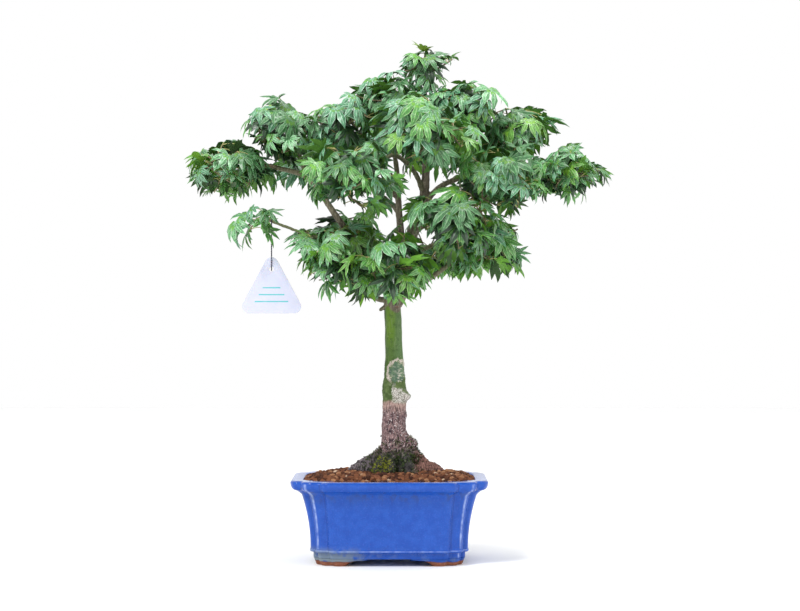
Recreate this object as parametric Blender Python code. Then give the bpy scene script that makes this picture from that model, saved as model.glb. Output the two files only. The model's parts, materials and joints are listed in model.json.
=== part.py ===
"""Japanese maple bonsai in a blue glazed pot, with its plain plastic tag.

The pot stands on the plane z = 0, +Z is up and the front is towards -Y. Every sub-part is an object of its
own. Limbs are tapering tubes that run from a point on their parent to a tip, and each mass of leaves grows
from one limb's tip by the same seeded rule and keeps to its own space in the crown.
"""

import math
import random

import bmesh
import bpy
from mathutils import Matrix, Vector
from mathutils.bvhtree import BVHTree
from mathutils.geometry import interpolate_bezier

MM = 0.001
GAP = 0.3 * MM  # clearance between pieces that touch
BOX_CENTRE = (9.9, 2.7)  # millimetres from the pot's centre to the middle of the whole plant's box

# ---------------------------------------------------------------- pot, in millimetres
POT_RIM = {"side": (100.0, 55.0), "corner": (88.0, 68.0), "panel": (67.6, 75.0)}
POT_FOOT = {"side": (79.0, 41.0), "corner": (73.4, 51.0), "panel": (60.4, 56.5)}
POT_TOP = 86.0
POT_UNDERSIDE = 7.4
BODY_BOTTOM = 17.6
BODY_TOP = 70.0
NOSE_BOTTOM = 76.2  # where the hollow under the lip turns into the lip's round nose
FLOOR_TOP = 15.4
RIDGE_HEIGHT = 14.9
RIDGE_THICKNESS = 2.4
RIM_WIDTH = 13.0
RIM_ROUNDING = 1.5
WALL = 6.0
CORNER_SHARE = 0.62  # a corner's rounding takes this share of the shorter side beside it
CORNER_STRETCH = 1.2  # and at most this much of the shorter side's length along the longer one
POT_CORNER_STEPS = 2
SOIL_CORNER_STEPS = 1
# shares of the way from the body's foot to the rim
BASE_SHARE = -0.1
RIDGE_SHARE = 0.07
BODY_SHARE = 0.04
SHOULDER_SHARE = 0.44
NOSE_SHARE = 0.78
BODY_HOLLOW = 2.0  # power of the body's hollow curve
COVE_HOLLOW = 1.6  # and of the hollow under the lip
BODY_STEPS = 3
COVE_STEPS = 2
NOSE_STEPS = 2
FOOT_TOP_GAP = (21.0, 11.0)  # from the pot's middle to where a foot meets it, along x and along y
FOOT_SOLE_GAP = (42.0, 26.0)
FOOT_WIDTH = 13.0
FOOT_INSET = (1.0, 3.6)  # how far a foot stands in from the pot's base, at its top and at its sole
FOOT_SHOULDER = 6.0  # height of the curve under the leg
FOOT_CURVE_STEPS = 2

# ---------------------------------------------------------------- soil, in millimetres
SOIL_EDGE = 84.0
SOIL_CROWN = 91.0
# shares of the pot's inside, each with its share of the rise
SOIL_HEAP = ((1.0, 0.0), (0.86, 0.6), (0.64, 1.0))

# ---------------------------------------------------------------- trunk, in millimetres
TRUNK_PATH = ((4.1, 0, 91.3), (4.1, 0, 122), (5.0, 0, 160), (5.1, 0, 186), (4.6, 0, 216), (3.9, 0, 245),
              (3.0, 0, 268), (7.2, 3, 294), (14.5, 4, 317))
TRUNK_RADIUS = ((0.0, 13.2), (0.14, 12.2), (0.3, 12.0), (0.36, 11.4), (0.44, 9.6), (0.55, 8.3), (0.8, 8.0),
                (1.0, 7.4))
TRUNK_SIDES = 18
TRUNK_RINGS = 16
FLARE_HEIGHT = 30.0
# each surface root: direction in degrees from +X, reach beyond the trunk, half its angle of spread
ROOTS = ((4, 38, 24), (62, 20, 22), (118, 22, 24), (178, 32, 22), (226, 16, 20), (262, 13, 18), (312, 22, 22))
KNOT = {"height": 116.0, "angle": -25.0, "size": 7.0, "spread": 26.0, "depth": 9.0}

# ---------------------------------------------------------------- limbs, in millimetres
# name: parent, share of the way along it, radius at the foot, radius at the tip, points passed
LIMBS = {
    "leader": ("trunk", 1.0, 6.8, 2.8,
               ((23, 1, 335), (34.5, -2, 368), (37.5, -2, 401), (38.5, 0, 432), (37, 0, 464))),
    "stem_left": ("trunk", 0.97, 4.6, 2.4, ((11.5, 5, 335), (9.5, 6, 362), (8, 4, 396), (4, -4, 428))),
    "bough_left": ("trunk", 0.86, 4.4, 2.5,
                   ((-11, -20, 293), (-54.7, -29, 354), (-82, -24, 391), (-118, -10, 404))),
    "bough_left_shoulder": ("bough_left", 0.8, 2.6, 2.1, ((-88, -16, 404), (-93, -6, 420))),
    "bough_upper_left": ("stem_left", 0.55, 3.2, 2.2,
                         ((-10, 2, 384), (-24, 0, 391), (-36, -5, 410), (-40, -8, 427))),
    "bough_right": ("leader", 0.36, 3.2, 2.3, ((52, -2, 384), (81, -1, 397.8), (105, -2, 411))),
    "bough_right_outer": ("leader", 0.27, 3.2, 2.2,
                          ((50, -6, 366), (82, -14, 366), (124, -14, 374), (148, -11, 386))),
    "bough_right_mid": ("bough_right_outer", 0.45, 2.4, 2.0, ((92, -28, 370), (99, -38, 375))),
    "bough_low_right": ("trunk", 0.78, 4.4, 2.2,
                        ((9, -9, 264), (17.5, -13, 279), (40, -12, 289), (66, -9, 308))),
    "bough_low_left": ("trunk", 0.79, 3.2, 2.1, ((-8, -3, 268), (-26.7, -8, 275), (-39, -18, 287))),
    "bough_tag": ("bough_left", 0.34, 2.2, 1.5, ((-58, -30, 328), (-86, -30, 335), (-121, -30, 348))),
    "bough_front_low": ("trunk", 0.84, 3.0, 2.1, ((7, -13, 279), (-2, -30, 288), (-4, -45, 296))),
    "bough_front_upper": ("leader", 0.72, 2.8, 2.1, ((39, -22, 420), (37, -52, 431))),
    "bough_front_left": ("leader", 0.44, 2.9, 2.1, ((24, -14, 401), (6, -36, 414), (-6, -50, 408))),
    "bough_front_right": ("leader", 0.14, 2.8, 2.1, ((36, -20, 347), (48, -42, 351))),
    "bough_top_right": ("leader", 0.78, 2.7, 2.1, ((50, -3, 442), (58, -8, 452))),
    "bough_back_left": ("stem_left", 0.42, 3.0, 2.1, ((-8, 26, 376), (-34, 52, 394))),
    "bough_back_right": ("leader", 0.32, 3.2, 2.1, ((50, 24, 384), (74, 52, 396))),
    "bough_back_centre": ("leader", 0.6, 3.0, 2.1, ((33, 30, 424), (24, 66, 437))),
    "bough_back_low_left": ("trunk", 0.9, 3.2, 2.1, ((-8, 24, 304), (-28, 46, 320))),
    "bough_back_low_right": ("trunk", 0.96, 3.0, 2.1, ((30, 24, 318), (42, 46, 324))),
}
LIMB_SINK = 0.35  # a limb starts this share of its parent's radius from the parent's axis
CUT_ROOM = 1.25  # a cutter stands out by this many clearances, as its flat faces lie inside its curve
THIN_LIMB = 3.3  # a limb with a smaller foot has four sides and not six
LIMB_PIECES = 2  # straight pieces between two points of a limb's path
BURL = {"limb": "leader", "at": 0.28, "size": 1.35, "spread": 0.07}

# ---------------------------------------------------------------- crown, in millimetres
# name: limb that carries it, centre, half sizes, leaves asked for
MASSES = {
    "leaves_apex": ("leader", (37, -2, 520), (36, 39, 42), 16),
    "leaves_top_left": ("stem_left", (-6, -10, 466), (42, 46, 40), 15),
    "leaves_top_right": ("bough_top_right", (84, -12, 462), (46, 46, 36), 16),
    "leaves_upper_left": ("bough_upper_left", (-52, -20, 446), (42, 48, 44), 15),
    "leaves_left_shoulder": ("bough_left_shoulder", (-108, -2, 438), (46, 50, 42), 16),
    "leaves_left_tip": ("bough_left", (-165, 4, 404), (52, 56, 38), 15),
    "leaves_upper_right": ("bough_right", (127, -2, 438), (45, 50, 40), 15),
    "leaves_right_tip": ("bough_right_outer", (181, -6, 396), (52, 56, 33), 16),
    "leaves_right_mid": ("bough_right_mid", (108, -70, 384), (48, 46, 40), 15),
    "leaves_right_low": ("bough_low_right", (98, -6, 328), (46, 50, 44), 15),
    "leaves_low_left": ("bough_low_left", (-54, -50, 308), (48, 48, 50), 15),
    "leaves_tag_spray": ("bough_tag", (-138, -30, 347), (34, 34, 32), 6),
    "leaves_front_low": ("bough_front_low", (2, -86, 302), (44, 46, 40), 13),
    "leaves_front_upper": ("bough_front_upper", (34, -96, 430), (52, 46, 44), 15),
    "leaves_front_left": ("bough_front_left", (-34, -92, 388), (50, 46, 42), 15),
    "leaves_front_right": ("bough_front_right", (64, -88, 346), (44, 46, 40), 13),
    "leaves_back_left": ("bough_back_left", (-72, 90, 412), (56, 50, 44), 15),
    "leaves_back_right": ("bough_back_right", (108, 88, 408), (56, 50, 44), 14),
    "leaves_back_centre": ("bough_back_centre", (20, 104, 446), (54, 48, 44), 13),
    "leaves_back_low_left": ("bough_back_low_left", (-54, 84, 334), (50, 48, 42), 13),
    "leaves_back_low_right": ("bough_back_low_right", (62, 86, 330), (50, 48, 42), 13),
}
SEED = 41
LEAVES_A_TWIG = 3.2
CROWN_FULLNESS = 1.12  # the masses' half sizes are stretched by this, and meet where they would cross
STEM_RADIUS = (2.2, 1.8)  # inside the mass, at its bend and at its end
TWIG_TAPER = (0.66, 0.56)  # a twig's radius at its foot and its end, as shares of what bears it
TWIG_THINNEST = 1.15
SHORTEST_TWIG = 14.0
TWIG_CANDIDATES = 10  # places looked at for each twig's end, of which the emptiest is taken
TWIG_FAILURES = 40
STEM_INSIDE = 0.35  # share of the way from the stem's start to the centre at which it bends
STEM_TURN = 0.4  # how far it has turned towards the centre there
STEM_END = 0.95
STEM_STRAIGHT = 3.0  # millimetres in line with the limb
TWIG_REACH = 0.66  # twig ends lie within this share of the mass's half sizes
SPACE_MARGIN = 0.02  # left free between the spaces of two masses
TRIES = 70
LEAF_TURNS = 6  # leaves that a twig may carry, two by two

# ---------------------------------------------------------------- leaf, in millimetres and degrees
LEAF_LENGTH = (34.0, 44.0)
LEAF_THICKNESS = 1.1
LOBES = ((0, 1.0), (42, 0.9), (86, 0.66))  # angle from the midrib, length as a share of the middle lobe
NOTCHES = ((20, 0.42), (63, 0.36))
PETIOLE_LENGTH = (9.0, 19.0)
PETIOLE_RADIUS = (0.42, 0.75)  # at its root and under the blade
PETIOLE_JOIN = 2.2  # where the petiole ends, short of the middle of the blade
PETIOLE_PITCH = (-0.4, 0.6)  # radians up from level
BLADE_FALL = (0.1, 1.0)  # radians down from level
SHARPEST_BEND = 1.15  # radians between the petiole and the blade
LEAF_DROOP = 0.32  # fall of a lobe's tip as a share of its length

# ---------------------------------------------------------------- tag, in millimetres
TAG_WIDTH = 60.0
TAG_HEIGHT = 57.0
TAG_CORNER = 7.0
TAG_CORNER_STEPS = 5
TAG_THICKNESS = 1.0
TAG_TOP = 311.0
TAG_HOLE_DROP = 12.2
TAG_HOLE_RADIUS = 2.4
TAG_X = -119.5
STRING_RADIUS = 0.55
STRING_SLACK = 0.3  # the loop's rounds are this much wider than a tight fit
STRING_POINTS = 8  # points round each end of the loop

COLOURS = {
    "glaze": ((0.045, 0.13, 0.5), 0.14, 0.0),
    "clay": ((0.25, 0.1, 0.055), 0.85, 0.0),
    "soil": ((0.3, 0.11, 0.055), 0.95, 0.0),
    "bark": ((0.2, 0.16, 0.08), 0.8, 0.0),
    "leaf": ((0.07, 0.2, 0.03), 0.55, 0.0),
    "tag": ((0.78, 0.77, 0.86), 0.4, 0.0),
    "string": ((0.03, 0.035, 0.06), 0.7, 0.0),
}


# ================================================================ scene and objects
def clear_scene():
    for old in list(bpy.data.objects):
        bpy.data.objects.remove(old, do_unlink=True)


def new_collection(name):
    made = bpy.data.collections.new(name)
    bpy.context.scene.collection.children.link(made)
    return made


def finish_of(name):
    """The material of that name, made the first time it is asked for."""
    if name in bpy.data.materials:
        return bpy.data.materials[name]
    colour, roughness, metallic = COLOURS[name]
    made = bpy.data.materials.new(name)
    made.use_nodes = True
    shader = made.node_tree.nodes["Principled BSDF"]
    shader.inputs["Base Color"].default_value = (*colour, 1)
    shader.inputs["Roughness"].default_value = roughness
    shader.inputs["Metallic"].default_value = metallic
    return made


def add_object(name, mesh, collection, finish=None, smooth=True):
    made = bpy.data.objects.new(name, mesh)
    collection.objects.link(made)
    if finish:
        mesh.materials.clear()
        mesh.materials.append(finish_of(finish))
    if smooth:
        mesh.shade_smooth()
        mesh.set_sharp_from_angle(angle=math.radians(35))
    return made


def mesh_from(name, verts, faces):
    """A mesh of the points, given in millimetres, with every face pointing out."""
    mesh = bpy.data.meshes.new(name)
    mesh.from_pydata([Vector(v) * MM for v in verts], [], faces)
    shape = bmesh.new()
    shape.from_mesh(mesh)
    bmesh.ops.recalc_face_normals(shape, faces=shape.faces)
    shape.to_mesh(mesh)
    shape.free()
    return mesh


def loft(name, rings):
    """A closed mesh through rings that have equal numbers of points, with both ends filled."""
    count = len(rings[0])
    verts = [point for ring in rings for point in ring]
    faces = [list(range(count)), list(range(len(verts) - count, len(verts)))]
    for level in range(len(rings) - 1):
        for k in range(count):
            here, after = level * count + k, level * count + (k + 1) % count
            faces.append([here, after, after + count, here + count])
    return mesh_from(name, verts, faces)


def evaluated_mesh(source, name):
    """The object's shape with its modifiers, its caps welded, as a new mesh."""
    bpy.context.view_layer.update()
    graph = bpy.context.evaluated_depsgraph_get()
    mesh = bpy.data.meshes.new_from_object(source.evaluated_get(graph))
    mesh.name = name
    shape = bmesh.new()
    shape.from_mesh(mesh)
    bmesh.ops.remove_doubles(shape, verts=shape.verts, dist=1e-6)
    bmesh.ops.recalc_face_normals(shape, faces=shape.faces)
    shape.to_mesh(mesh)
    shape.free()
    return mesh


def tube_mesh(name, points, radii, resolution=1, closed=False):
    """A tube along the points, in millimetres, whose radius may change, as a closed mesh."""
    curve = bpy.data.curves.new(name, "CURVE")
    curve.dimensions = "3D"
    curve.bevel_depth = MM
    curve.bevel_resolution = resolution
    curve.use_fill_caps = not closed
    spline = curve.splines.new("POLY")
    spline.points.add(len(points) - 1)
    for spot, place, radius in zip(spline.points, points, radii):
        spot.co = (*(Vector(place) * MM), 1)
        spot.radius = radius
    spline.use_cyclic_u = closed
    holder = bpy.data.objects.new(name, curve)
    bpy.context.scene.collection.objects.link(holder)
    mesh = evaluated_mesh(holder, name)
    bpy.data.objects.remove(holder, do_unlink=True)
    return mesh


def joined(base, helpers, name, operation):
    """The base object with one Boolean on the collection of helpers, which is then emptied, as one body."""
    modifier = base.modifiers.new(operation.lower(), "BOOLEAN")
    modifier.operand_type = "COLLECTION"
    modifier.collection = helpers
    modifier.operation = operation
    mesh = one_body(evaluated_mesh(base, name))
    if not is_closed(mesh):
        modifier.solver = "MANIFOLD"
        mesh = one_body(evaluated_mesh(base, name))
    for used in (base, *helpers.objects):
        bpy.data.objects.remove(used, do_unlink=True)
    return mesh


def is_closed(mesh):
    shape = bmesh.new()
    shape.from_mesh(mesh)
    closed = all(edge.is_manifold for edge in shape.edges)
    shape.free()
    return closed


def one_body(mesh):
    """Keeps the largest connected body of a mesh and drops loose scraps and sealed hollows."""
    shape = bmesh.new()
    shape.from_mesh(mesh)
    left = set(shape.verts)
    bodies = []
    while left:
        found, edge = set(), [left.pop()]
        while edge:
            vert = edge.pop()
            found.add(vert)
            for link in vert.link_edges:
                other = link.other_vert(vert)
                if other in left:
                    left.discard(other)
                    edge.append(other)
        bodies.append(found)
    bodies.sort(key=len)
    for scrap in bodies[:-1]:
        bmesh.ops.delete(shape, geom=list(scrap), context="VERTS")
    bmesh.ops.triangulate(shape, faces=shape.faces, ngon_method="EAR_CLIP")
    twins = {}
    for face in shape.faces:
        twins.setdefault(tuple(sorted(v.index for v in face.verts)), []).append(face)
    fins = [face for pair in twins.values() if len(pair) == 2 for face in pair]
    bmesh.ops.delete(shape, geom=fins, context="FACES")
    shape.to_mesh(mesh)
    shape.free()
    return mesh


# ================================================================ pot and soil
def pot_steps(share, inset=0.0):
    """The corners of the stepped outline in its first quarter: share 0 is the body's foot and 1 the rim."""
    sides = {}
    for part, rim in POT_RIM.items():
        foot = POT_FOOT[part]
        sides[part] = [foot[k] + (rim[k] - foot[k]) * share - inset for k in (0, 1)]
    side, corner, panel = sides["side"], sides["corner"], sides["panel"]
    return [(side[0], side[1]), (corner[0], side[1]), (corner[0], corner[1]), (panel[0], corner[1]),
            (panel[0], panel[1])]


def pot_outline(share, inset=0.0, corner_steps=POT_CORNER_STEPS):
    """The whole outline, with the corners that stand out rounded."""
    quarter = pot_steps(share, inset)
    sharp = quarter + [(-x, y) for x, y in reversed(quarter)]
    sharp += [(-x, -y) for x, y in sharp]
    outline = []
    for k, spot in enumerate(sharp):
        here, last, after = Vector(spot), Vector(sharp[k - 1]), Vector(sharp[(k + 1) % len(sharp)])
        back, ahead = last - here, after - here
        if ahead.cross(back) < 0:
            outline.append(tuple(here))
            continue
        shorter = min(back.length, ahead.length)
        start, end = [arm.normalized() * min(CORNER_SHARE * arm.length, CORNER_STRETCH * shorter)
                      for arm in (back, ahead)]
        for step in range(corner_steps + 1):
            turn = math.pi / 2 * step / corner_steps
            outline.append(tuple(here + start * (1 - math.sin(turn)) + end * (1 - math.cos(turn))))
    return outline


def at_height(outline, z):
    return [(x, y, z) for x, y in outline]


def make_pot(collection):
    """One shell: outside from the underside up to the rim, then the inside down to the floor."""
    ridge = RIDGE_THICKNESS / 2
    outside = [
        (POT_UNDERSIDE, BASE_SHARE),
        (RIDGE_HEIGHT - ridge * 2, BASE_SHARE),
        (RIDGE_HEIGHT - ridge, RIDGE_SHARE),
        (RIDGE_HEIGHT + ridge, RIDGE_SHARE),
    ]
    for step in range(BODY_STEPS + 1):
        rise = step / BODY_STEPS
        share = BODY_SHARE + (SHOULDER_SHARE - BODY_SHARE) * rise ** BODY_HOLLOW
        outside.append((BODY_BOTTOM + (BODY_TOP - BODY_BOTTOM) * rise, share))
    for step in range(1, COVE_STEPS + 1):
        rise = step / COVE_STEPS
        share = SHOULDER_SHARE + (NOSE_SHARE - SHOULDER_SHARE) * rise ** COVE_HOLLOW
        outside.append((BODY_TOP + (NOSE_BOTTOM - BODY_TOP) * rise, share))
    nose_top = POT_TOP - RIM_ROUNDING
    for step in range(1, NOSE_STEPS + 1):
        turn = math.pi / 2 * step / NOSE_STEPS
        share = NOSE_SHARE + (1 - NOSE_SHARE) * math.sin(turn)
        outside.append((NOSE_BOTTOM + (nose_top - NOSE_BOTTOM) * (1 - math.cos(turn)), share))
    rings = [at_height(pot_outline(share), z) for z, share in outside]
    rings.append(at_height(pot_outline(1.0, RIM_ROUNDING), POT_TOP))
    rings.append(at_height(pot_outline(1.0, RIM_WIDTH), POT_TOP))
    rings.append(at_height(pot_outline(SHOULDER_SHARE, WALL), BODY_TOP))
    rings.append(at_height(pot_outline(0.0, WALL), FLOOR_TOP))
    return add_object("pot", loft("pot", rings), collection, "glaze")


def make_foot(name, side_x, side_y, collection):
    """A foot round one corner of the base's steps, whose two legs grow longer in a curve up to the pot."""
    levels = []
    for k in range(FOOT_CURVE_STEPS, -1, -1):
        turn = math.pi / 2 * k / FOOT_CURVE_STEPS
        levels.append((FOOT_SHOULDER * math.cos(turn), math.sin(turn)))
    levels.append((POT_UNDERSIDE - GAP / MM, 0.0))
    rings = []
    for height, shortening in levels:
        gap_x, gap_y = [top + (sole - top) * shortening for top, sole in zip(FOOT_TOP_GAP, FOOT_SOLE_GAP)]
        inset = FOOT_INSET[1] + (FOOT_INSET[0] - FOOT_INSET[1]) * height / POT_UNDERSIDE
        steps = pot_steps(BASE_SHARE, inset)
        inner_x, inner_y = steps[0][0] - FOOT_WIDTH, steps[-1][1] - FOOT_WIDTH
        plan = [(steps[0][0], gap_y)] + steps
        plan += [(gap_x, steps[-1][1]), (gap_x, inner_y), (inner_x, inner_y), (inner_x, gap_y)]
        rings.append([(side_x * u, side_y * v, height) for u, v in plan])
    return add_object(name, loft(name, rings), collection, "clay")


def make_soil(collection):
    """The soil fills the pot and is heaped towards the trunk, flat where the trunk stands."""
    gap = GAP / MM
    rings = [
        at_height(pot_outline(0.0, WALL + gap, SOIL_CORNER_STEPS), FLOOR_TOP + gap),
        at_height(pot_outline(SHOULDER_SHARE, WALL + gap, SOIL_CORNER_STEPS), BODY_TOP),
    ]
    rim_share = (SOIL_EDGE - BODY_TOP) / (POT_TOP - BODY_TOP)
    inset = WALL + (RIM_WIDTH - WALL) * rim_share + gap
    edge = pot_outline(SHOULDER_SHARE + (1 - SHOULDER_SHARE) * rim_share, inset, SOIL_CORNER_STEPS)
    for share, rise in SOIL_HEAP:
        height = SOIL_EDGE + (SOIL_CROWN - SOIL_EDGE) * rise
        rings.append([(x * share, y * share, height) for x, y in edge])
    return add_object("soil", loft("soil", rings), collection, "soil")


# ================================================================ trunk and limbs
def smooth_path(points, pieces):
    """A smooth run through the points: each stretch is a Bezier whose handles follow the neighbours."""
    spots = [Vector(p) for p in points]
    slopes = []
    for k in range(len(spots)):
        before, after = spots[max(k - 1, 0)], spots[min(k + 1, len(spots) - 1)]
        slopes.append((after - before) / (1 if k in (0, len(spots) - 1) else 2))
    path = []
    for k in range(len(spots) - 1):
        run = interpolate_bezier(spots[k], spots[k] + slopes[k] / 3, spots[k + 1] - slopes[k + 1] / 3,
                                 spots[k + 1], pieces + 1)
        path += run[:-1]
    path.append(spots[-1])
    return path


def ramp(stops, share):
    """The value at share of a list of (share, value) stops, straight between them."""
    for (low, first), (high, second) in zip(stops, stops[1:]):
        if share <= high:
            return first + (second - first) * (share - low) / (high - low)
    return stops[-1][1]


class Limb:
    """A limb's centre line and its radius along it, in millimetres."""

    def __init__(self, path, radii):
        self.path = [Vector(p) for p in path]
        self.radii = radii
        steps = [(b - a).length for a, b in zip(self.path, self.path[1:])]
        self.marks = [sum(steps[:k]) / sum(steps) for k in range(len(self.path))]

    def at(self, share):
        """The point, the radius and the direction at a share of the length."""
        for k in range(len(self.path) - 1):
            low, high = self.marks[k], self.marks[k + 1]
            if share <= high or k == len(self.path) - 2:
                part = (share - low) / (high - low)
                place = self.path[k].lerp(self.path[k + 1], part)
                radius = self.radii[k] + (self.radii[k + 1] - self.radii[k]) * part
                return place, radius, (self.path[k + 1] - self.path[k]).normalized()
        return None


def root_reach(angle):
    """How far the surface roots stand out at an angle round the trunk's foot."""
    reach = 0.0
    for heading, length, spread in ROOTS:
        turn = math.radians((math.degrees(angle) - heading + 180) % 360 - 180)
        reach += length * math.exp(-((turn / math.radians(spread)) ** 2))
    return reach


def make_trunk(collection):
    """The trunk from its flat cut up to the fork, with its roots flared and a mossy knot at the right."""
    path = smooth_path(TRUNK_PATH, 4)
    line = Limb(path, [1.0] * len(path))
    rings = []
    centres = []
    radii = []
    for level in range(TRUNK_RINGS + 1):
        share = (level / TRUNK_RINGS) ** 1.35
        centre = line.at(share)[0]
        radius = ramp(TRUNK_RADIUS, share)
        height = centre.z - TRUNK_PATH[0][2]
        flare = (1 - min(height / FLARE_HEIGHT, 1.0) ** 1.5) ** 2
        ring = []
        for k in range(TRUNK_SIDES):
            angle = 2 * math.pi * k / TRUNK_SIDES
            turn = (math.degrees(angle) - KNOT["angle"] + 180) % 360 - 180
            knot = KNOT["size"] * math.exp(-((turn / KNOT["spread"]) ** 2)
                                           - ((centre.z - KNOT["height"]) / KNOT["depth"]) ** 2)
            out = radius + flare * root_reach(angle) + knot
            ring.append((centre.x + out * math.cos(angle), centre.y + out * math.sin(angle), centre.z))
        rings.append(ring)
        centres.append(centre)
        radii.append(radius)
    mesh = one_body(loft("trunk", rings))
    return add_object("trunk", mesh, collection, "bark"), Limb(centres, radii)


def limb_radius(name, share, foot, tip):
    """Taper from foot to tip, with the burl where this limb has it."""
    radius = foot + (tip - foot) * share ** 0.8
    if name == BURL["limb"]:
        radius *= 1 + (BURL["size"] - 1) * math.exp(-(((share - BURL["at"]) / BURL["spread"]) ** 2))
    return radius


def make_limb(name, lines, meshes, collection, helpers):
    """One limb, cut clear of the limb that bears it and of every limb made before that it would touch."""
    parent, share, foot, tip, points = LIMBS[name]
    start, parent_radius, along = lines[parent].at(share)
    if share < 1.0:
        out = (Vector(points[0]) - start).normalized()
        side = (out - along * out.dot(along)).normalized()
        start = start + side * parent_radius * LIMB_SINK
    else:
        start = start + along * GAP / MM
    path = smooth_path((tuple(start), *points), LIMB_PIECES)
    line = Limb(path, [1.0] * len(path))
    line.radii = [limb_radius(name, mark, foot, tip) for mark in line.marks]
    mesh = tube_mesh(name, path, line.radii, 1 if foot > THIN_LIMB else 0)
    tree = tree_of(mesh)
    base = add_object(name, mesh, collection)
    for other, shape in meshes.items():
        if other == parent or shape["tree"].overlap(tree):
            add_object("cutter_" + other, shape["fat"].copy(), helpers, smooth=False)
    mesh = joined(base, helpers, name, "DIFFERENCE")
    lines[name] = line
    meshes[name] = {"tree": tree_of(mesh), "fat": swollen(mesh)}
    return add_object(name, mesh, collection, "bark")


def swollen(mesh):
    """A copy of a mesh whose surface stands the clearance further out."""
    fat = mesh.copy()
    for vert, normal in zip(fat.vertices, [v.normal.copy() for v in mesh.vertices]):
        vert.co = vert.co + normal * GAP * CUT_ROOM
    return fat


def tree_of(mesh):
    return BVHTree.FromPolygons([v.co for v in mesh.vertices], [tuple(p.vertices) for p in mesh.polygons])


# ================================================================ leaves
def leaf_shape(root, heading, pitch, droop, roll, length, petiole):
    """Points in millimetres and faces of one five-lobed leaf on its three-sided petiole.

    The petiole leaves root along heading, raised by pitch. The blade starts at its end and falls by droop.
    """
    ahead = Vector((math.cos(heading), math.sin(heading), 0))
    side = Vector((-ahead.y, ahead.x, 0))
    up = Vector((0, 0, 1))
    stalk = ahead * math.cos(pitch) + up * math.sin(pitch)
    under = side.cross(stalk)
    blade = ahead * math.cos(droop) - up * math.sin(droop)
    across = Matrix.Rotation(roll, 3, blade) @ side
    normal = blade.cross(across)
    middle = root + stalk * petiole
    half = LEAF_THICKNESS / 2
    root_thin, thin = PETIOLE_RADIUS

    def outline_point(angle, share):
        reach = length * share
        fall = LEAF_DROOP * reach * share
        turn = math.radians(angle)
        return middle + blade * reach * math.cos(turn) + across * reach * math.sin(turn) - normal * fall

    right = []
    for (tip, tip_share), (dip, dip_share) in zip(LOBES, NOTCHES):
        right.append(outline_point(tip, tip_share))
        right.append(outline_point(dip, dip_share))
    right.append(outline_point(*LOBES[-1]))
    left = []
    for (tip, tip_share), (dip, dip_share) in zip(LOBES[1:], NOTCHES):
        left.append(outline_point(-dip, dip_share))
        left.append(outline_point(-tip, tip_share))
    back = middle - stalk * PETIOLE_JOIN
    edge = [back - side * thin, *reversed(left), *right, back + side * thin]
    verts = [middle + normal * half, middle - normal * half, *edge]
    top, low = 0, 1
    first, last = 2, 1 + len(edge)
    faces = [(top, k, k + 1) for k in range(first, last)]
    faces.append((top, last, first))
    faces += [(low, k + 1, k) for k in range(first, last)]
    foot = len(verts)
    verts += [root - side * root_thin, root + side * root_thin, root + under * root_thin]
    faces += [(first, last, foot + 1, foot), (last, low, foot + 2, foot + 1), (low, first, foot, foot + 2)]
    faces.append((foot, foot + 1, foot + 2))
    return verts, faces


def twig_shape(start, end, thick, thin):
    """A three-sided twig between two points."""
    along = (end - start).normalized()
    turn = along.to_track_quat("Z", "Y").to_matrix()
    verts = []
    for centre, radius in ((start, thick), (end, thin)):
        for k in range(3):
            angle = 2 * math.pi * k / 3 + 0.3
            verts.append(centre + turn @ Vector((math.cos(angle), math.sin(angle), 0)) * radius)
    faces = [(0, 2, 1), (3, 4, 5), (0, 1, 4, 3), (1, 2, 5, 4), (2, 0, 3, 5)]
    return verts, faces


class Crown:
    """Keeps each mass to its own space and clear of everything that is already there."""

    def __init__(self, obstacles):
        self.obstacles = list(obstacles)

    def nearness(self, name, point):
        centre, half = MASSES[name][1], MASSES[name][2]
        return math.sqrt(sum(((point[k] - centre[k]) / half[k]) ** 2 for k in range(3))) / CROWN_FULLNESS

    def owns(self, name, point, limit):
        mine = self.nearness(name, point)
        if mine > limit:
            return False
        return all(mine + SPACE_MARGIN < self.nearness(other, point) for other in MASSES if other != name)

    def clear(self, shape, touching):
        """Whether the shape meets nothing that stands, apart from the pieces it grows on."""
        tree = BVHTree.FromPolygons([Vector(v) * MM for v in shape[0]], shape[1])
        for obstacle in self.obstacles:
            if obstacle not in touching and obstacle.overlap(tree):
                return None
        return tree


def leaf_place(rng, twig, turn):
    """Where a leaf stands on a twig: pairs that follow each other down from its end, turned outwards."""
    along = twig["end"] - twig["start"]
    outward = math.atan2(along.y, along.x)
    pair, hand = divmod(turn, 2)
    share = 0.97 - 0.24 * pair + rng.uniform(-0.03, 0.02)
    heading = outward + (-1 if hand else 1) * (0.6 + 0.35 * pair)
    return twig["start"] + along * share, heading


def grow_leaf(rng, crown, name, twig, place, heading):
    """One leaf of the mass, tried a few times with other sizes and turns; None if it never fits."""
    for attempt in range(TRIES):
        size = 1.0 - 0.35 * attempt / TRIES
        spread = 0.25 + 0.7 * attempt / TRIES
        pitch = rng.uniform(*PETIOLE_PITCH)
        shape = leaf_shape(
            place,
            heading + rng.uniform(-spread, spread),
            pitch,
            min(rng.uniform(*BLADE_FALL), SHARPEST_BEND - pitch),
            rng.uniform(-0.4, 0.4),
            rng.uniform(*LEAF_LENGTH) * size,
            rng.uniform(*PETIOLE_LENGTH) * size,
        )
        if not all(crown.owns(name, v, 1.0) for v in shape[0]):
            continue
        tree = crown.clear(shape, [twig["tree"]])
        if tree:
            return shape, tree
    return None


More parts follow.
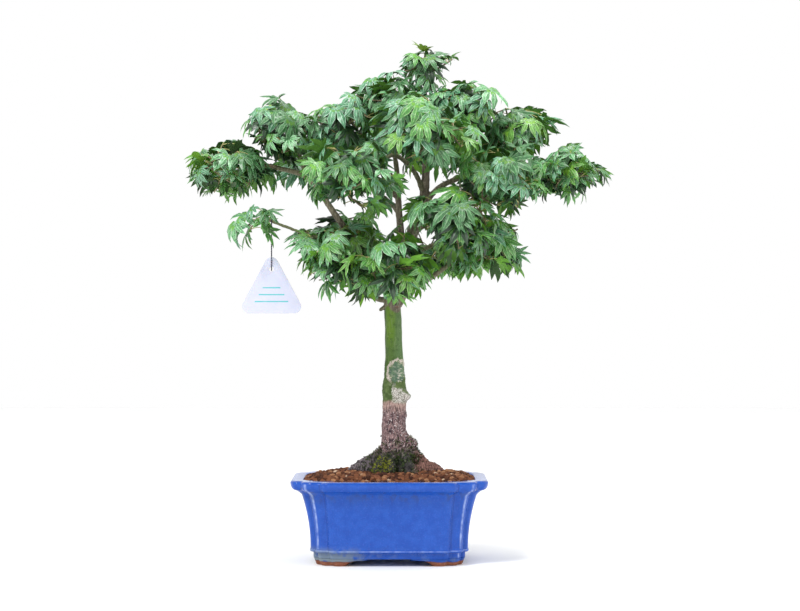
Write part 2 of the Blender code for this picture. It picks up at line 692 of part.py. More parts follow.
def grow_twigs(rng, crown, name, stem_end, stem_tree, stem, wanted):
    """Twigs whose ends spread evenly through the mass, each grown from the nearest twig that stands."""
    centre, half = Vector(MASSES[name][1]), MASSES[name][2]
    twigs = [{"start": stem[0], "end": stem[1], "tree": stem_tree, "radii": STEM_RADIUS}]
    ends = [stem_end]
    failed = 0
    while len(twigs) <= wanted and failed < TWIG_FAILURES:
        best, far = None, -1.0
        for _ in range(TWIG_CANDIDATES):
            way = Vector((rng.gauss(0, 1), rng.gauss(0, 1), rng.gauss(0, 1))).normalized()
            depth = TWIG_REACH * rng.uniform(0.45, 1.0)
            spot = centre + Vector([way[k] * half[k] * depth for k in range(3)])
            room = min((spot - other).length for other in ends)
            if room > far:
                best, far = spot, room
        parent = min(twigs, key=lambda t: (t["start"].lerp(t["end"], 0.7) - best).length)
        share = rng.uniform(0.35, 0.85)
        root = parent["start"].lerp(parent["end"], share)
        bearer = parent["radii"][0] + (parent["radii"][1] - parent["radii"][0]) * share
        radii = [max(bearer * taper, TWIG_THINNEST * taper / TWIG_TAPER[0]) for taper in TWIG_TAPER]
        if (best - root).length < SHORTEST_TWIG or not crown.owns(name, best, 0.95):
            failed += 1
            continue
        shape = twig_shape(root, best, *radii)
        tree = crown.clear(shape, [parent["tree"]])
        if not tree:
            failed += 1
            continue
        twigs.append({"start": root, "end": best, "tree": tree, "shape": shape, "radii": radii})
        crown.obstacles.append(tree)
        ends.append(best)
    return twigs


def make_mass(name, index, lines, crown, collection, helpers):
    """One mass: a stem on from its limb's tip, twigs and leaves, joined into one solid."""
    limb, centre, half, wanted = MASSES[name]
    rng = random.Random(SEED + index)
    line = lines[limb]
    tip, tip_radius, along = line.at(1.0)
    begin = tip + along * GAP / MM
    centre = Vector(centre)
    reach = (centre - begin).length
    straight_on = begin + along * reach * STEM_INSIDE
    bend = straight_on.lerp(begin.lerp(centre, STEM_INSIDE), STEM_TURN)
    stem_points = (begin, begin + along * STEM_STRAIGHT, bend, begin.lerp(centre, STEM_END))
    radii = (tip_radius * 0.95, tip_radius * 0.95, *STEM_RADIUS)
    stem_mesh = tube_mesh(name + "_stem", stem_points, radii, 0)
    stem_tree = tree_of(stem_mesh)
    crown.obstacles.append(stem_tree)
    stem_end = Vector(stem_points[-1])
    stem = (Vector(stem_points[2]), stem_end)
    twigs = grow_twigs(rng, crown, name, stem_end, stem_tree, stem, max(2, round(wanted / LEAVES_A_TWIG)) + 1)
    shapes = [twig["shape"] for twig in twigs[1:]]
    bare = len(shapes)
    for turn in range(LEAF_TURNS):
        for twig in reversed(twigs):
            place, heading = leaf_place(rng, twig, turn)
            full = len(shapes) - bare >= wanted
            grown = None if full else grow_leaf(rng, crown, name, twig, place, heading)
            if grown:
                shapes.append(grown[0])
                crown.obstacles.append(grown[1])
    base = add_object(name, stem_mesh, collection, smooth=False)
    for k, (verts, faces) in enumerate(shapes):
        add_object(f"{name}_{k}", mesh_from(f"{name}_{k}", verts, faces), helpers, smooth=False)
    mesh = joined(base, helpers, name, "UNION")
    return add_object(name, mesh, collection, "leaf", smooth=False)


# ================================================================ tag
def rounded_triangle():
    """The tag's outline, apex up, as a list of (x, z): an arc at each corner and straight sides between."""
    reach = TAG_WIDTH / 2 - TAG_CORNER
    base = TAG_TOP - TAG_HEIGHT + TAG_CORNER
    middles = (Vector((0, TAG_TOP - TAG_CORNER)), Vector((-reach, base)), Vector((reach, base)))
    outline = []
    for k, middle in enumerate(middles):
        before = middle - middles[k - 1]
        after = middles[(k + 1) % 3] - middle
        first = math.atan2(-before.x, before.y)
        bend = (math.atan2(-after.x, after.y) - first) % (2 * math.pi)
        for step in range(TAG_CORNER_STEPS + 1):
            angle = first + bend * step / TAG_CORNER_STEPS
            outline.append(middle + Vector((math.cos(angle), math.sin(angle))) * TAG_CORNER)
    return outline


def make_tag(collection, tag_y):
    """The hanging plate with its hole, from a flat outline given its thickness."""
    curve = bpy.data.curves.new("tag", "CURVE")
    curve.dimensions = "2D"
    curve.fill_mode = "BOTH"
    curve.extrude = TAG_THICKNESS / 2 * MM
    hole = [(TAG_HOLE_RADIUS * math.cos(a), TAG_TOP - TAG_HOLE_DROP + TAG_HOLE_RADIUS * math.sin(a))
            for a in [2 * math.pi * k / 12 for k in range(12)]]
    for outline in (rounded_triangle(), hole):
        spline = curve.splines.new("POLY")
        spline.points.add(len(outline) - 1)
        for spot, (x, z) in zip(spline.points, outline):
            spot.co = (x * MM, z * MM, 0, 1)
        spline.use_cyclic_u = True
    holder = bpy.data.objects.new("tag", curve)
    bpy.context.scene.collection.objects.link(holder)
    mesh = evaluated_mesh(holder, "tag")
    bpy.data.objects.remove(holder, do_unlink=True)
    upright = Matrix.Translation((TAG_X * MM, tag_y * MM, 0)) @ Matrix.Rotation(math.pi / 2, 4, "X")
    mesh.transform(upright)
    return add_object("tag", one_body(mesh), collection, "tag")


def make_string(collection, twig, tag_y):
    """The tag's tie: one closed loop over the twig and through the tag's hole."""
    share = min((k / 100 for k in range(101)), key=lambda s: abs(twig.at(s)[0].x - TAG_X))
    over, twig_radius, _ = twig.at(share)
    upper = twig_radius + GAP / MM + STRING_RADIUS + STRING_SLACK
    lower = TAG_THICKNESS / 2 + GAP / MM + STRING_RADIUS + STRING_SLACK
    hole = TAG_TOP - TAG_HOLE_DROP
    points = []
    for k in range(STRING_POINTS + 1):
        turn = math.pi * k / STRING_POINTS
        points.append((TAG_X, over.y + upper * math.cos(turn), over.z + upper * math.sin(turn)))
    for k in range(STRING_POINTS + 1):
        turn = math.pi + math.pi * k / STRING_POINTS
        points.append((TAG_X, tag_y + lower * math.cos(turn), hole + lower * 0.9 * math.sin(turn)))
    mesh = tube_mesh("tag_string", points, [STRING_RADIUS] * len(points), 0, closed=True)
    return add_object("tag_string", mesh, collection, "string")


# ================================================================ everything
def main():
    clear_scene()
    parts = new_collection("japanese_maple_bonsai")
    helpers = new_collection("helpers")
    made = [make_pot(parts), make_soil(parts)]
    for depth, side_y in (("front", -1), ("back", 1)):
        for hand, side_x in (("left", -1), ("right", 1)):
            made.append(make_foot(f"foot_{depth}_{hand}", side_x, side_y, parts))
    trunk, trunk_line = make_trunk(parts)
    made.append(trunk)
    lines = {"trunk": trunk_line}
    meshes = {"trunk": {"tree": tree_of(trunk.data), "fat": swollen(trunk.data)}}
    for name in LIMBS:
        made.append(make_limb(name, lines, meshes, parts, helpers))
    twig = lines["bough_tag"]
    tag_share = min((k / 100 for k in range(101)), key=lambda s: abs(twig.at(s)[0].x - TAG_X))
    tag_y = twig.at(tag_share)[0].y
    made.append(make_tag(parts, tag_y))
    made.append(make_string(parts, twig, tag_y))
    crown = Crown(tree_of(piece.data) for piece in made)
    for index, name in enumerate(MASSES):
        made.append(make_mass(name, index, lines, crown, parts, helpers))
    bpy.data.collections.remove(helpers)
    root = bpy.data.objects.new("japanese_maple_bonsai", None)
    parts.objects.link(root)
    root.location = (-BOX_CENTRE[0] * MM, -BOX_CENTRE[1] * MM, 0)
    for piece in made:
        piece.parent = root


main()
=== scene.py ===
"""Japanese maple bonsai: glazed pot, loose soil, mossed trunk, limbs with bark, and a crown of lobed leaves.

Lengths are millimetres from the middle of the pot's foot plane, and MM turns them into metres.
"""

import json
import math
import random

import bmesh
import bpy
import numpy as np
from mathutils import Matrix, Vector, noise
from mathutils.bvhtree import BVHTree
from mathutils.geometry import interpolate_bezier
from mathutils.kdtree import KDTree

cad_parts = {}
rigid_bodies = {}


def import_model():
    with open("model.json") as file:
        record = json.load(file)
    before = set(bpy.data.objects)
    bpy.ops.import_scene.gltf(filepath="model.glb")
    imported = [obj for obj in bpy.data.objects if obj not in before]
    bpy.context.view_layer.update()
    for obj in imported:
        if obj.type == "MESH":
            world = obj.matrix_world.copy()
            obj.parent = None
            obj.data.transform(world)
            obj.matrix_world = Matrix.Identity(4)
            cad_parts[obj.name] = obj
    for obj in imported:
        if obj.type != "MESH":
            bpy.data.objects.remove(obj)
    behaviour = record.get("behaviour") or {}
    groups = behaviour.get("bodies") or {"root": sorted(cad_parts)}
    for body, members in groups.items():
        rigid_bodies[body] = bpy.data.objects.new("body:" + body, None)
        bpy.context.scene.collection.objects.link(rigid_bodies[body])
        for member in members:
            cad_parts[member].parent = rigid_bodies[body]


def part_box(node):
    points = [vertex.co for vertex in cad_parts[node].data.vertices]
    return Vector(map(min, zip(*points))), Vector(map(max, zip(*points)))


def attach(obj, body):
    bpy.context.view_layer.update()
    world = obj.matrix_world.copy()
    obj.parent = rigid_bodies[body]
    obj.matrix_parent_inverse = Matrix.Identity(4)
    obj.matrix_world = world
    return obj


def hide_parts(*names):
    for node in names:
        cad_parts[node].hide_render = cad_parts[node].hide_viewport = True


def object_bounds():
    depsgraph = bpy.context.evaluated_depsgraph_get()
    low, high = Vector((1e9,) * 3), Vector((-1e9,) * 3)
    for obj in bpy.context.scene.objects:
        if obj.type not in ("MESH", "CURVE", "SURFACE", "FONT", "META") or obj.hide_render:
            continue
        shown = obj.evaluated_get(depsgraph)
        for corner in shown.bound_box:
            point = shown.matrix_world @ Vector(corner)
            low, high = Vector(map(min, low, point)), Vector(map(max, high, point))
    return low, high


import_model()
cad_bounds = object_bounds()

MM = 0.001
WELD = 1e-6  # metres
NOISE_ROUGHNESS = 0.55
POT_LOW, POT_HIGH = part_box("pot")
POT_CENTRE = Vector(((POT_LOW[0] + POT_HIGH[0]) / 2, (POT_LOW[1] + POT_HIGH[1]) / 2, 0.0))
SCENE = bpy.context.scene

# ---------------------------------------------------------------- camera and light
FRAME_WIDTH = 800
SENSOR = 36.0
FOCAL_PIXELS = 1942.0
CAMERA_DISTANCE = 2000.0
CAMERA_HEIGHT = 262.0
CAMERA_RIGHT = 10.8  # the pot stands a little left of the middle of the view
CLIP_END = 20.0  # metres
# name, place and width in metres, and watts
LIGHTS = (("key", (-0.9, -1.2, 1.8), 0.4, 30), ("top", (0.35, -0.1, 1.9), 0.5, 16),
          ("side", (1.6, -0.5, 0.8), 0.8, 6))
LIGHT_AIM = (0, 0, 0.3)
FLOOR_HALF = 3.0

# ---------------------------------------------------------------- pot
POT_RIM = {"side": (100.0, 55.0), "corner": (88.0, 68.0), "panel": (67.6, 75.0)}
POT_FOOT = {"side": (79.0, 41.0), "corner": (73.4, 51.0), "panel": (60.4, 56.5)}
POT_TOP = 86.0
POT_UNDERSIDE = 7.4
BODY_BOTTOM = 17.6
BODY_TOP = 70.0
NOSE_BOTTOM = 76.2  # where the hollow under the lip turns into the lip's round nose
FLOOR_TOP = 15.4
UNDERSIDE_EDGE = ((0.0, 1.2), (0.4, 0.3), (1.2, 0.0))  # up from the underside, and in from the side
RIDGE_HEIGHT = 14.9
RIDGE_HALF = 1.7
RIDGE_FOOT = 2.8  # the straight base ends this far under the ridge's middle
RIM_WIDTH = 13.0
RIM_ROUNDING = (3.4, 2.4)  # in from the side and down from the top
INNER_ROUNDING = 1.8
WALL = 6.0
CORNER_SHARE = 0.62  # a corner's rounding takes this share of each side beside it
CORNER_STRETCH = 1.2  # and at most this much of the shorter side's length
HOLLOW_SHARE = 0.3  # the same in the hollow between two corners
CORNER_STEPS = 8
EDGE_SHARPNESS = 8
STEP_WEAR_HIGHLIGHT_AND_SHADE = 0.35  # wear, painted highlight and painted shade of the outline's other corners, where that between side and panel has 1
# shares of the way from the body's foot to the rim
BASE_SHARE = -0.1
RIDGE_SHARE = 0.07
BODY_SHARE = 0.04
SHOULDER_SHARE = 0.44
NOSE_SHARE = 0.78
BODY_HOLLOW = 2.0  # power of the body's hollow curve
COVE_HOLLOW = 1.6  # and of the hollow under the lip
FOOT_TOP_GAP = (21.0, 11.0)  # from the pot's middle to where a foot meets it, along x and along y
FOOT_SOLE_GAP = (42.0, 26.0)
FOOT_WIDTH = 13.0
FOOT_INSET = (0.2, 3.4)  # how far a foot stands in from the pot's base, at its top and at its sole
FOOT_SHOULDER = 6.0  # height of the curve under the leg
FOOT_SHOULDER_STEPS = 10

# ---------------------------------------------------------------- soil
SOIL_EDGE = 84.0
SOIL_CROWN = 91.0
SOIL_HEAP = ((1.0, 0.0), (0.86, 0.6), (0.64, 1.0))
SOIL_GAP = 0.3
SOIL_BOTTOM = (0.97, 60.0)  # share of the outline, and height
SOIL_RINGS = 44
SOIL_TOP_FROM = 70.0  # grains lie on faces above this height that face up at least by the slope
SOIL_SLOPE = 0.3
SOIL_BED_DROP = 1.6  # the bed lies this far under the top of the loose grains
SOIL_ROUGHNESS = 1.1
GRAIN_FORMS = 6
# size across, spacing, lift from the bed, and how freely they turn, where 1 is any way
GRAINS = {"size": (4.0, 7.4), "spacing": 3.4, "lift": 1.1, "tumble": 1.0, "seed": 3}
CRUMBS = {"size": (1.6, 3.6), "spacing": 2.72, "lift": 2.6, "tumble": 1.0, "seed": 8}
ANY_TURN = 3.1  # nearly half a turn either way, in radians
DENSEST = 500000.0  # forms a square metre before those too near each other go
TONE_SEED = 9

# ---------------------------------------------------------------- trunk
TRUNK_PATH = ((4.1, 0, 91.3), (4.1, 0, 122), (5.0, 0, 160), (5.1, 0, 186), (4.6, 0, 216), (3.9, 0, 245),
              (3.0, 0, 268), (7.2, 3, 294), (14.5, 4, 317))
TRUNK_RADIUS = ((0.0, 13.2), (0.14, 12.4), (0.3, 12.0), (0.38, 11.7), (0.45, 10.2), (0.55, 8.9), (0.8, 8.5),
                (1.0, 7.4))
TRUNK_SIDES = 60
TRUNK_RINGS = 150
FLARE_HEIGHT = 30.0
ROOTS = ((4, 40, 20), (62, 21, 18), (118, 22, 20), (178, 36, 18), (226, 17, 16), (262, 14, 15), (312, 23, 18))
# lumps on the trunk: direction in degrees, height, size, spread in degrees and in millimetres
BUMPS = ((-25, 116.0, 7.0, 26, 9.0), (-18, 168.5, 6.2, 17, 4.2), (-35, 152.0, 1.2, 24, 6.0),
         (165, 178.0, 0.9, 50, 9.0), (-60, 178.0, 1.0, 40, 7.0), (-16, 122.0, 8.5, 17, 7.5),
         (-10, 109.0, 5.0, 18, 5.0), (-48, 116.0, 2.2, 12, 3.5), (-20, 148.0, 1.4, 20, 4.0))
# short cut stubs, each a run of points with their radii
STUBS = (
    (((19.0, -12.5, 283.0), 3.2), ((13.0, -12.8, 271.0), 4.6), ((9.0, -12.6, 262.5), 4.5),
     ((8.2, -12.6, 260.5), 3.9)),
    (((-3.0, -2.0, 262.0), 2.4), ((-8.6, -4.5, 258.0), 2.0), ((-10.4, -5.2, 257.0), 1.5)),
)
STUB_SIDES = 14
RING = {"x": 8.1, "z": 193.5, "wide": 10.4, "tall": 13.2}  # the corky ring on the trunk's front
BARK_VOXEL = 0.84
BARK_MIDDLE = 4.0  # the trunk's middle, and how far from it and how high its own bark reaches
BARK_STEM_REACH = 26
BARK_STEM_TOP = 262
BARK_FOOT_TOP = 118  # top of the cleft foot
BARK_OLD_TOP = 212  # top of the furrowed bark
MOSS_TOP = 128.0
MOSS = {"size": (1.6, 3.2), "spacing": 1.25, "lift": 0.0, "tumble": 0.12, "seed": 4}
MOSS_FORMS = 3
MOSS_TUFT = (-9.0, 99.0)  # x and z of the bright tuft
MOSS_LUMP = (24.0, 118.0)  # and of a mossy lump
MOSS_REACH = 31.0  # on either side of the trunk
MOSS_BLADES = 6

# ---------------------------------------------------------------- limbs
# name: parent, share of the way along it, radius at the foot, radius at the tip, points passed
LIMBS = {
    "leader": ("trunk", 1.0, 6.8, 2.8,
               ((23, 1, 335), (34.5, -2, 368), (37.5, -2, 401), (38.5, 0, 432), (37, 0, 464))),
    "stem_left": ("trunk", 0.97, 4.6, 2.4, ((11.5, 5, 335), (9.5, 6, 362), (8, 4, 396), (4, -4, 428))),
    "bough_left": ("trunk", 0.86, 4.4, 2.5,
                   ((-11, -20, 293), (-54.7, -29, 354), (-82, -24, 391), (-118, -10, 404))),
    "bough_left_shoulder": ("bough_left", 0.8, 2.6, 2.1, ((-88, -16, 404), (-93, -6, 420))),
    "bough_upper_left": ("stem_left", 0.55, 3.2, 2.2,
                         ((-10, 2, 384), (-24, 0, 391), (-36, -5, 410), (-40, -8, 427))),
    "bough_right": ("leader", 0.36, 3.2, 2.3, ((52, -2, 384), (81, -1, 397.8), (105, -2, 411))),
    "bough_right_outer": ("leader", 0.27, 3.2, 2.2,
                          ((50, -6, 366), (82, -14, 366), (124, -14, 374), (148, -11, 386))),
    "bough_right_mid": ("bough_right_outer", 0.45, 2.4, 2.0, ((92, -28, 370), (99, -38, 375))),
    "bough_low_right": ("trunk", 0.78, 4.4, 2.2,
                        ((9, -9, 264), (17.5, -13, 279), (40, -12, 289), (66, -9, 308))),
    "bough_low_left": ("trunk", 0.79, 3.2, 2.1, ((-8, -3, 268), (-26.7, -8, 275), (-39, -18, 287))),
    "bough_tag": ("bough_left", 0.34, 2.2, 1.5, ((-58, -30, 328), (-86, -30, 335), (-121, -30, 348))),
    "bough_front_low": ("trunk", 0.84, 3.0, 2.1, ((7, -13, 279), (-2, -30, 288), (-4, -45, 296))),
    "bough_front_upper": ("leader", 0.72, 2.8, 2.1, ((39, -22, 420), (37, -52, 431))),
    "bough_front_left": ("leader", 0.44, 2.9, 2.1, ((24, -14, 401), (6, -36, 414), (-6, -50, 408))),
    "bough_front_right": ("leader", 0.14, 2.8, 2.1, ((36, -20, 347), (48, -42, 351))),
    "bough_top_right": ("leader", 0.78, 2.7, 2.1, ((50, -3, 442), (58, -8, 452))),
    "bough_back_left": ("stem_left", 0.42, 3.0, 2.1, ((-8, 26, 376), (-34, 52, 394))),
    "bough_back_right": ("leader", 0.32, 3.2, 2.1, ((50, 24, 384), (74, 52, 396))),
    "bough_back_centre": ("leader", 0.6, 3.0, 2.1, ((33, 30, 424), (24, 66, 437))),
    "bough_back_low_left": ("trunk", 0.9, 3.2, 2.1, ((-8, 24, 304), (-28, 46, 320))),
    "bough_back_low_right": ("trunk", 0.96, 3.0, 2.1, ((30, 24, 318), (42, 46, 324))),
}
LIMB_PIECES = 8
LIMB_SIDES = 12
LIMB_SINK = 0.35  # a limb starts this share of its parent's radius from the parent's axis
BURL = {"limb": "leader", "at": 0.28, "size": 1.35, "spread": 0.07}
COLLAR = 0.35  # a limb is thicker by this share where it leaves its parent
COLLAR_LENGTH = 1.6  # in radii of its foot

# ---------------------------------------------------------------- crown
# name: limb that carries it, centre, half sizes, leaves
MASSES = {
    "leaves_apex": ("leader", (37, -2, 520), (36, 39, 42), 14),
    "leaves_top_left": ("stem_left", (-6, -10, 466), (42, 46, 40), 15),
    "leaves_top_right": ("bough_top_right", (84, -12, 462), (46, 46, 36), 16),
    "leaves_upper_left": ("bough_upper_left", (-52, -20, 446), (42, 48, 44), 15),
    "leaves_left_shoulder": ("bough_left_shoulder", (-108, -2, 438), (46, 50, 42), 16),
    "leaves_left_tip": ("bough_left", (-165, 4, 404), (52, 56, 38), 15),
    "leaves_upper_right": ("bough_right", (127, -2, 438), (45, 50, 40), 15),
    "leaves_right_tip": ("bough_right_outer", (181, -6, 396), (52, 56, 33), 16),
    "leaves_right_mid": ("bough_right_mid", (108, -70, 384), (48, 46, 40), 15),
    "leaves_right_low": ("bough_low_right", (98, -6, 328), (46, 50, 44), 15),
    "leaves_low_left": ("bough_low_left", (-54, -50, 308), (48, 48, 50), 15),
    "leaves_tag_spray": ("bough_tag", (-134, -30, 345), (30, 34, 32), 6),
    "leaves_front_low": ("bough_front_low", (2, -86, 302), (44, 46, 40), 13),
    "leaves_front_upper": ("bough_front_upper", (34, -96, 430), (52, 46, 44), 15),
    "leaves_front_left": ("bough_front_left", (-34, -92, 388), (50, 46, 42), 15),
    "leaves_front_right": ("bough_front_right", (64, -88, 346), (44, 46, 40), 13),
    "leaves_back_left": ("bough_back_left", (-72, 90, 412), (56, 50, 44), 15),
    "leaves_back_right": ("bough_back_right", (108, 88, 408), (56, 50, 44), 15),
    "leaves_back_centre": ("bough_back_centre", (20, 104, 446), (54, 48, 44), 14),
    "leaves_back_low_left": ("bough_back_low_left", (-54, 84, 334), (50, 48, 42), 14),
    "leaves_back_low_right": ("bough_back_low_right", (62, 86, 330), (50, 48, 42), 14),
}
SEED = 41
LEAF_PLENTY = 4.7  # leaves here for each leaf of the plain solids
THIN_SPRAYS = {"leaves_tag_spray": 1.7}  # sprays that are more open, with their own plenty
LEAVES_A_TWIG = 3.4
CROWN_FULLNESS = 1.12
TWIG_REACH = 0.8
RAGGEDNESS = 0.22  # how much further, or less far, leaves reach from place to place
RAGGED_SIZE = 26.0
TWIG_ROOM = 11.0  # left between a twig's end and the plant's box, for its leaves
LEAF_ROOM = 4.0
# open places in the crown as seen from the front: the middle's x and z, half the width and half the height
SKY_GAPS = ((-74, 477, 22, 10), (-152, 464, 11, 9), (-204, 430, 20, 9), (-95, 379, 15, 5), (-76, 352, 15, 8),
            (-98, 303, 6, 14), (-84, 282, 11, 9), (-42, 361, 9, 6), (-33, 378, 5, 5), (8, 407, 7, 9),
            (40, 330, 9, 6), (111, 474, 8, 5), (175, 444, 9, 14), (219, 416, 18, 6), (218, 373, 19, 11),
            (169, 367, 7, 7), (141, 333, 9, 14))
TRIES = 26
TRY_SHRINK = 0.3  # the last try is smaller by this share
TRY_SPREAD = (0.25, 0.8)  # turn either way in radians on the first try, and what the last adds
LEAF_TURNS = 6
FIRST_PAIR = 0.97  # how far along its twig the outermost pair of leaves stands
PAIR_STEP = 0.24
PAIR_SLIP = (-0.03, 0.02)
PAIR_TURN = (0.6, 0.35)  # turn from the twig in radians, and what each pair further in adds
STEM_RADIUS = (1.9, 1.2)
TWIG_TAPER = (0.7, 0.55)
TWIG_THINNEST = 0.8
SHORTEST_TWIG = 11.0
TWIG_CANDIDATES = 10
TWIG_FORK = (0.35, 0.85)  # how far along its bearer a twig starts
TWIG_LIMIT = 0.95  # how far out in its mass a twig may end
TWIG_BOW = 0.035
TWIG_FAILURES = 60
STEM_INSIDE = 0.35
STEM_TURN = 0.4
STEM_END = 0.95
TWIG_SIDES = 7

# ---------------------------------------------------------------- leaf
LEAF_LENGTH = (25.0, 38.0)
PETIOLE_LENGTH = (9.0, 20.0)
PETIOLE_RADIUS = 0.42
PETIOLE_SIDES = 5
PETIOLE_ARCH = 0.07
PETIOLE_TAPER = (1.35, -1.1, 0.75)  # thick at the twig, thin in the middle and a little thicker at the blade
PETIOLE_PITCH = (-0.35, 0.6)
BLADE_FALL = (0.1, 1.25)
BLADE_ROLL = 0.8
HIGH_LEAVES = (485.0, 505.0)  # between these heights leaves begin to stand up
HIGH_LIFT = 0.3
LEADER_LEAVES = (456.0, 494.0, 24)  # lowest, highest and number of the leaves straight on the leader
LEADER_MASSES = ("leaves_apex", "leaves_top_right", "leaves_top_left")
LEADER_REACH = 1.12  # how far from these masses' middles its leaves may reach, where 1 is their edge
SHARPEST_BEND = 1.25
# pairs of edge points: how far out on a lobe each lies, and how wide the lobe is there
LONG_LOBE = ((0.42, 0.92), (0.6, 1.1), (0.79, 0.68))
MIDDLING_LOBE = ((0.45, 1.05), (0.72, 0.8))
SHORT_LOBE = ((0.55, 1.0),)
# degrees from the midrib, share of the middle lobe's length, edge points
LOBES = ((0, 1.0, LONG_LOBE), (34, 0.92, LONG_LOBE), (70, 0.74, MIDDLING_LOBE), (108, 0.44, SHORT_LOBE))
LOBE_WIDTH = 0.106
SINUS = 0.3
SINUS_RISE = 0.12
LOBE_RISE = (0.1, 0.42)  # radians above the blade at which a lobe starts
LOBE_FALL = (0.8, 2.1)  # and by how much it has turned down at its tip
LOBE_SWAY = 0.6
LEAF_FOLD = (0.3, 0.6)  # how steeply a lobe falls from its vein to its edges
CUPPED_EVERY = 4  # every fourth form is cupped: its lobes start higher, fall less and stand closer
CUPPED = {"rise": 0.4, "fall": 0.6, "closing": 0.82}
END_SINUS = 48  # degrees from an outermost lobe to where the edge behind it would have a lobe
LOBE_DROP = 0.3  # a guard's lobes hang by this share of their reach
LEAF_FORMS = 12
BLADE_THICKNESS = 0.012
GUARD_SHARE = 0.78  # the part of a leaf's length that is kept clear of its neighbours
# linear colours of the upper side, the veins and the underside, how often a spray has them, and the factor of
# that low in the crown and what it gains up to the top; the blue and soft uppers are partly a painted sheen,
# and the fresh and light ones, dealt low down, and the undersides are partly a painted glow of light through
# the leaf
SHADES = {
    "deep": ((0.044, 0.176, 0.052), (0.3, 0.5, 0.27), (0.09, 0.22, 0.03), 5, 0.6, 1.0),
    "blue": ((0.08, 0.28, 0.13), (0.5, 0.72, 0.54), (0.11, 0.28, 0.05), 6, 0.5, 1.0),
    "fresh": ((0.068, 0.275, 0.046), (0.42, 0.68, 0.29), (0.13, 0.34, 0.03), 5, 1.5, -1.0),
    "soft": ((0.115, 0.35, 0.13), (0.57, 0.79, 0.55), (0.14, 0.35, 0.06), 4, 1.0, 0.0),
    "light": ((0.1, 0.31, 0.036), (0.46, 0.7, 0.28), (0.17, 0.38, 0.035), 1, 1.9, -1.5),
    # painted shade, for leaves inside a mass
    "dark": ((0.009, 0.038, 0.013), (0.07, 0.16, 0.055), (0.03, 0.08, 0.016), 0, 1.0, 0.0),
    "young": ((0.24, 0.42, 0.035), (0.42, 0.58, 0.12), (0.3, 0.46, 0.06), 0, 1.0, 0.0),
}
SHADE_HEIGHTS = (330, 160)  # where the shades begin to change, and over how much height
INNER_SHARE = 0.6  # leaves this near the middle of a mass lie in its shade
INNER_DARK = 0.35
OWN_SHADE = 0.5  # leaves whose shade is not their twig's
YOUNG_SPOTS = ((90, -60, 356), (-128, 0, 478), (-190, 0, 412), (40, -10, 528))  # a lime leaf near each
YOUNG_SIZE = 0.8

# ---------------------------------------------------------------- tag
TAG_WIDTH = 60.0
TAG_HEIGHT = 57.0
TAG_CORNER = 7.0
TAG_CORNER_STEPS = 8
TAG_THICKNESS = 1.0
TAG_TOP = 311.0
TAG_HOLE_DROP = 12.2
TAG_HOLE_RADIUS = 2.4
TAG_X = -119.5
TAG_BEVEL = 0.22
TAG_HOLE_STEPS = 28
TAG_LINES = ((280.0, 9.0), (273.0, 13.0), (266.0, 17.0))  # ruled lines to write on: height and half width
STRING_RADIUS = 0.55
STRING_SLACK = 0.6
STRING_POINTS = 12  # on each of the loop's two rounds
STRAND_STEPS = 260
STRAND_TURNS = 24
STRAND_SIDES = 6


# ================================================================ nodes
class Socket:
    """An output on which sums are written: each operator adds a Math node to the same tree."""

    def __init__(self, maker, socket):
        self.maker = maker
        self.socket = socket

    def math(self, operation, *values):
        return self.maker.node("ShaderNodeMath", {"operation": operation}, dict(enumerate(values)))

    def __add__(self, other):
        return self.math("ADD", self, other)

    def __radd__(self, other):
        return self.math("ADD", other, self)

    def __sub__(self, other):
        return self.math("SUBTRACT", self, other)

    def __rsub__(self, other):
        return self.math("SUBTRACT", other, self)

    def __mul__(self, other):
        return self.math("MULTIPLY", self, other)

    def __rmul__(self, other):
        return self.math("MULTIPLY", other, self)

    def __truediv__(self, other):
        return self.math("DIVIDE", self, other)

    def __abs__(self):
        return self.math("ABSOLUTE", self)


class Maker:
    """Adds nodes to a tree, each with its settings first and then the values or links of its sockets."""

    def __init__(self, tree):
        self.tree = tree

    def node(self, kind, settings=None, sockets=None, out=0):
        made = self.tree.nodes.new(kind)
        for key, value in (settings or {}).items():
            setattr(made, key, value)
        for key, value in (sockets or {}).items():
            if isinstance(value, Socket):
                self.tree.links.new(value.socket, made.inputs[key])
            else:
                made.inputs[key].default_value = value
        return Socket(self, made.outputs[out])

    def named(self, name, kind="FLOAT"):
        """What a mesh's attribute holds, in a Geometry Nodes tree."""
        return self.node("GeometryNodeInputNamedAttribute", {"data_type": kind}, {"Name": name})


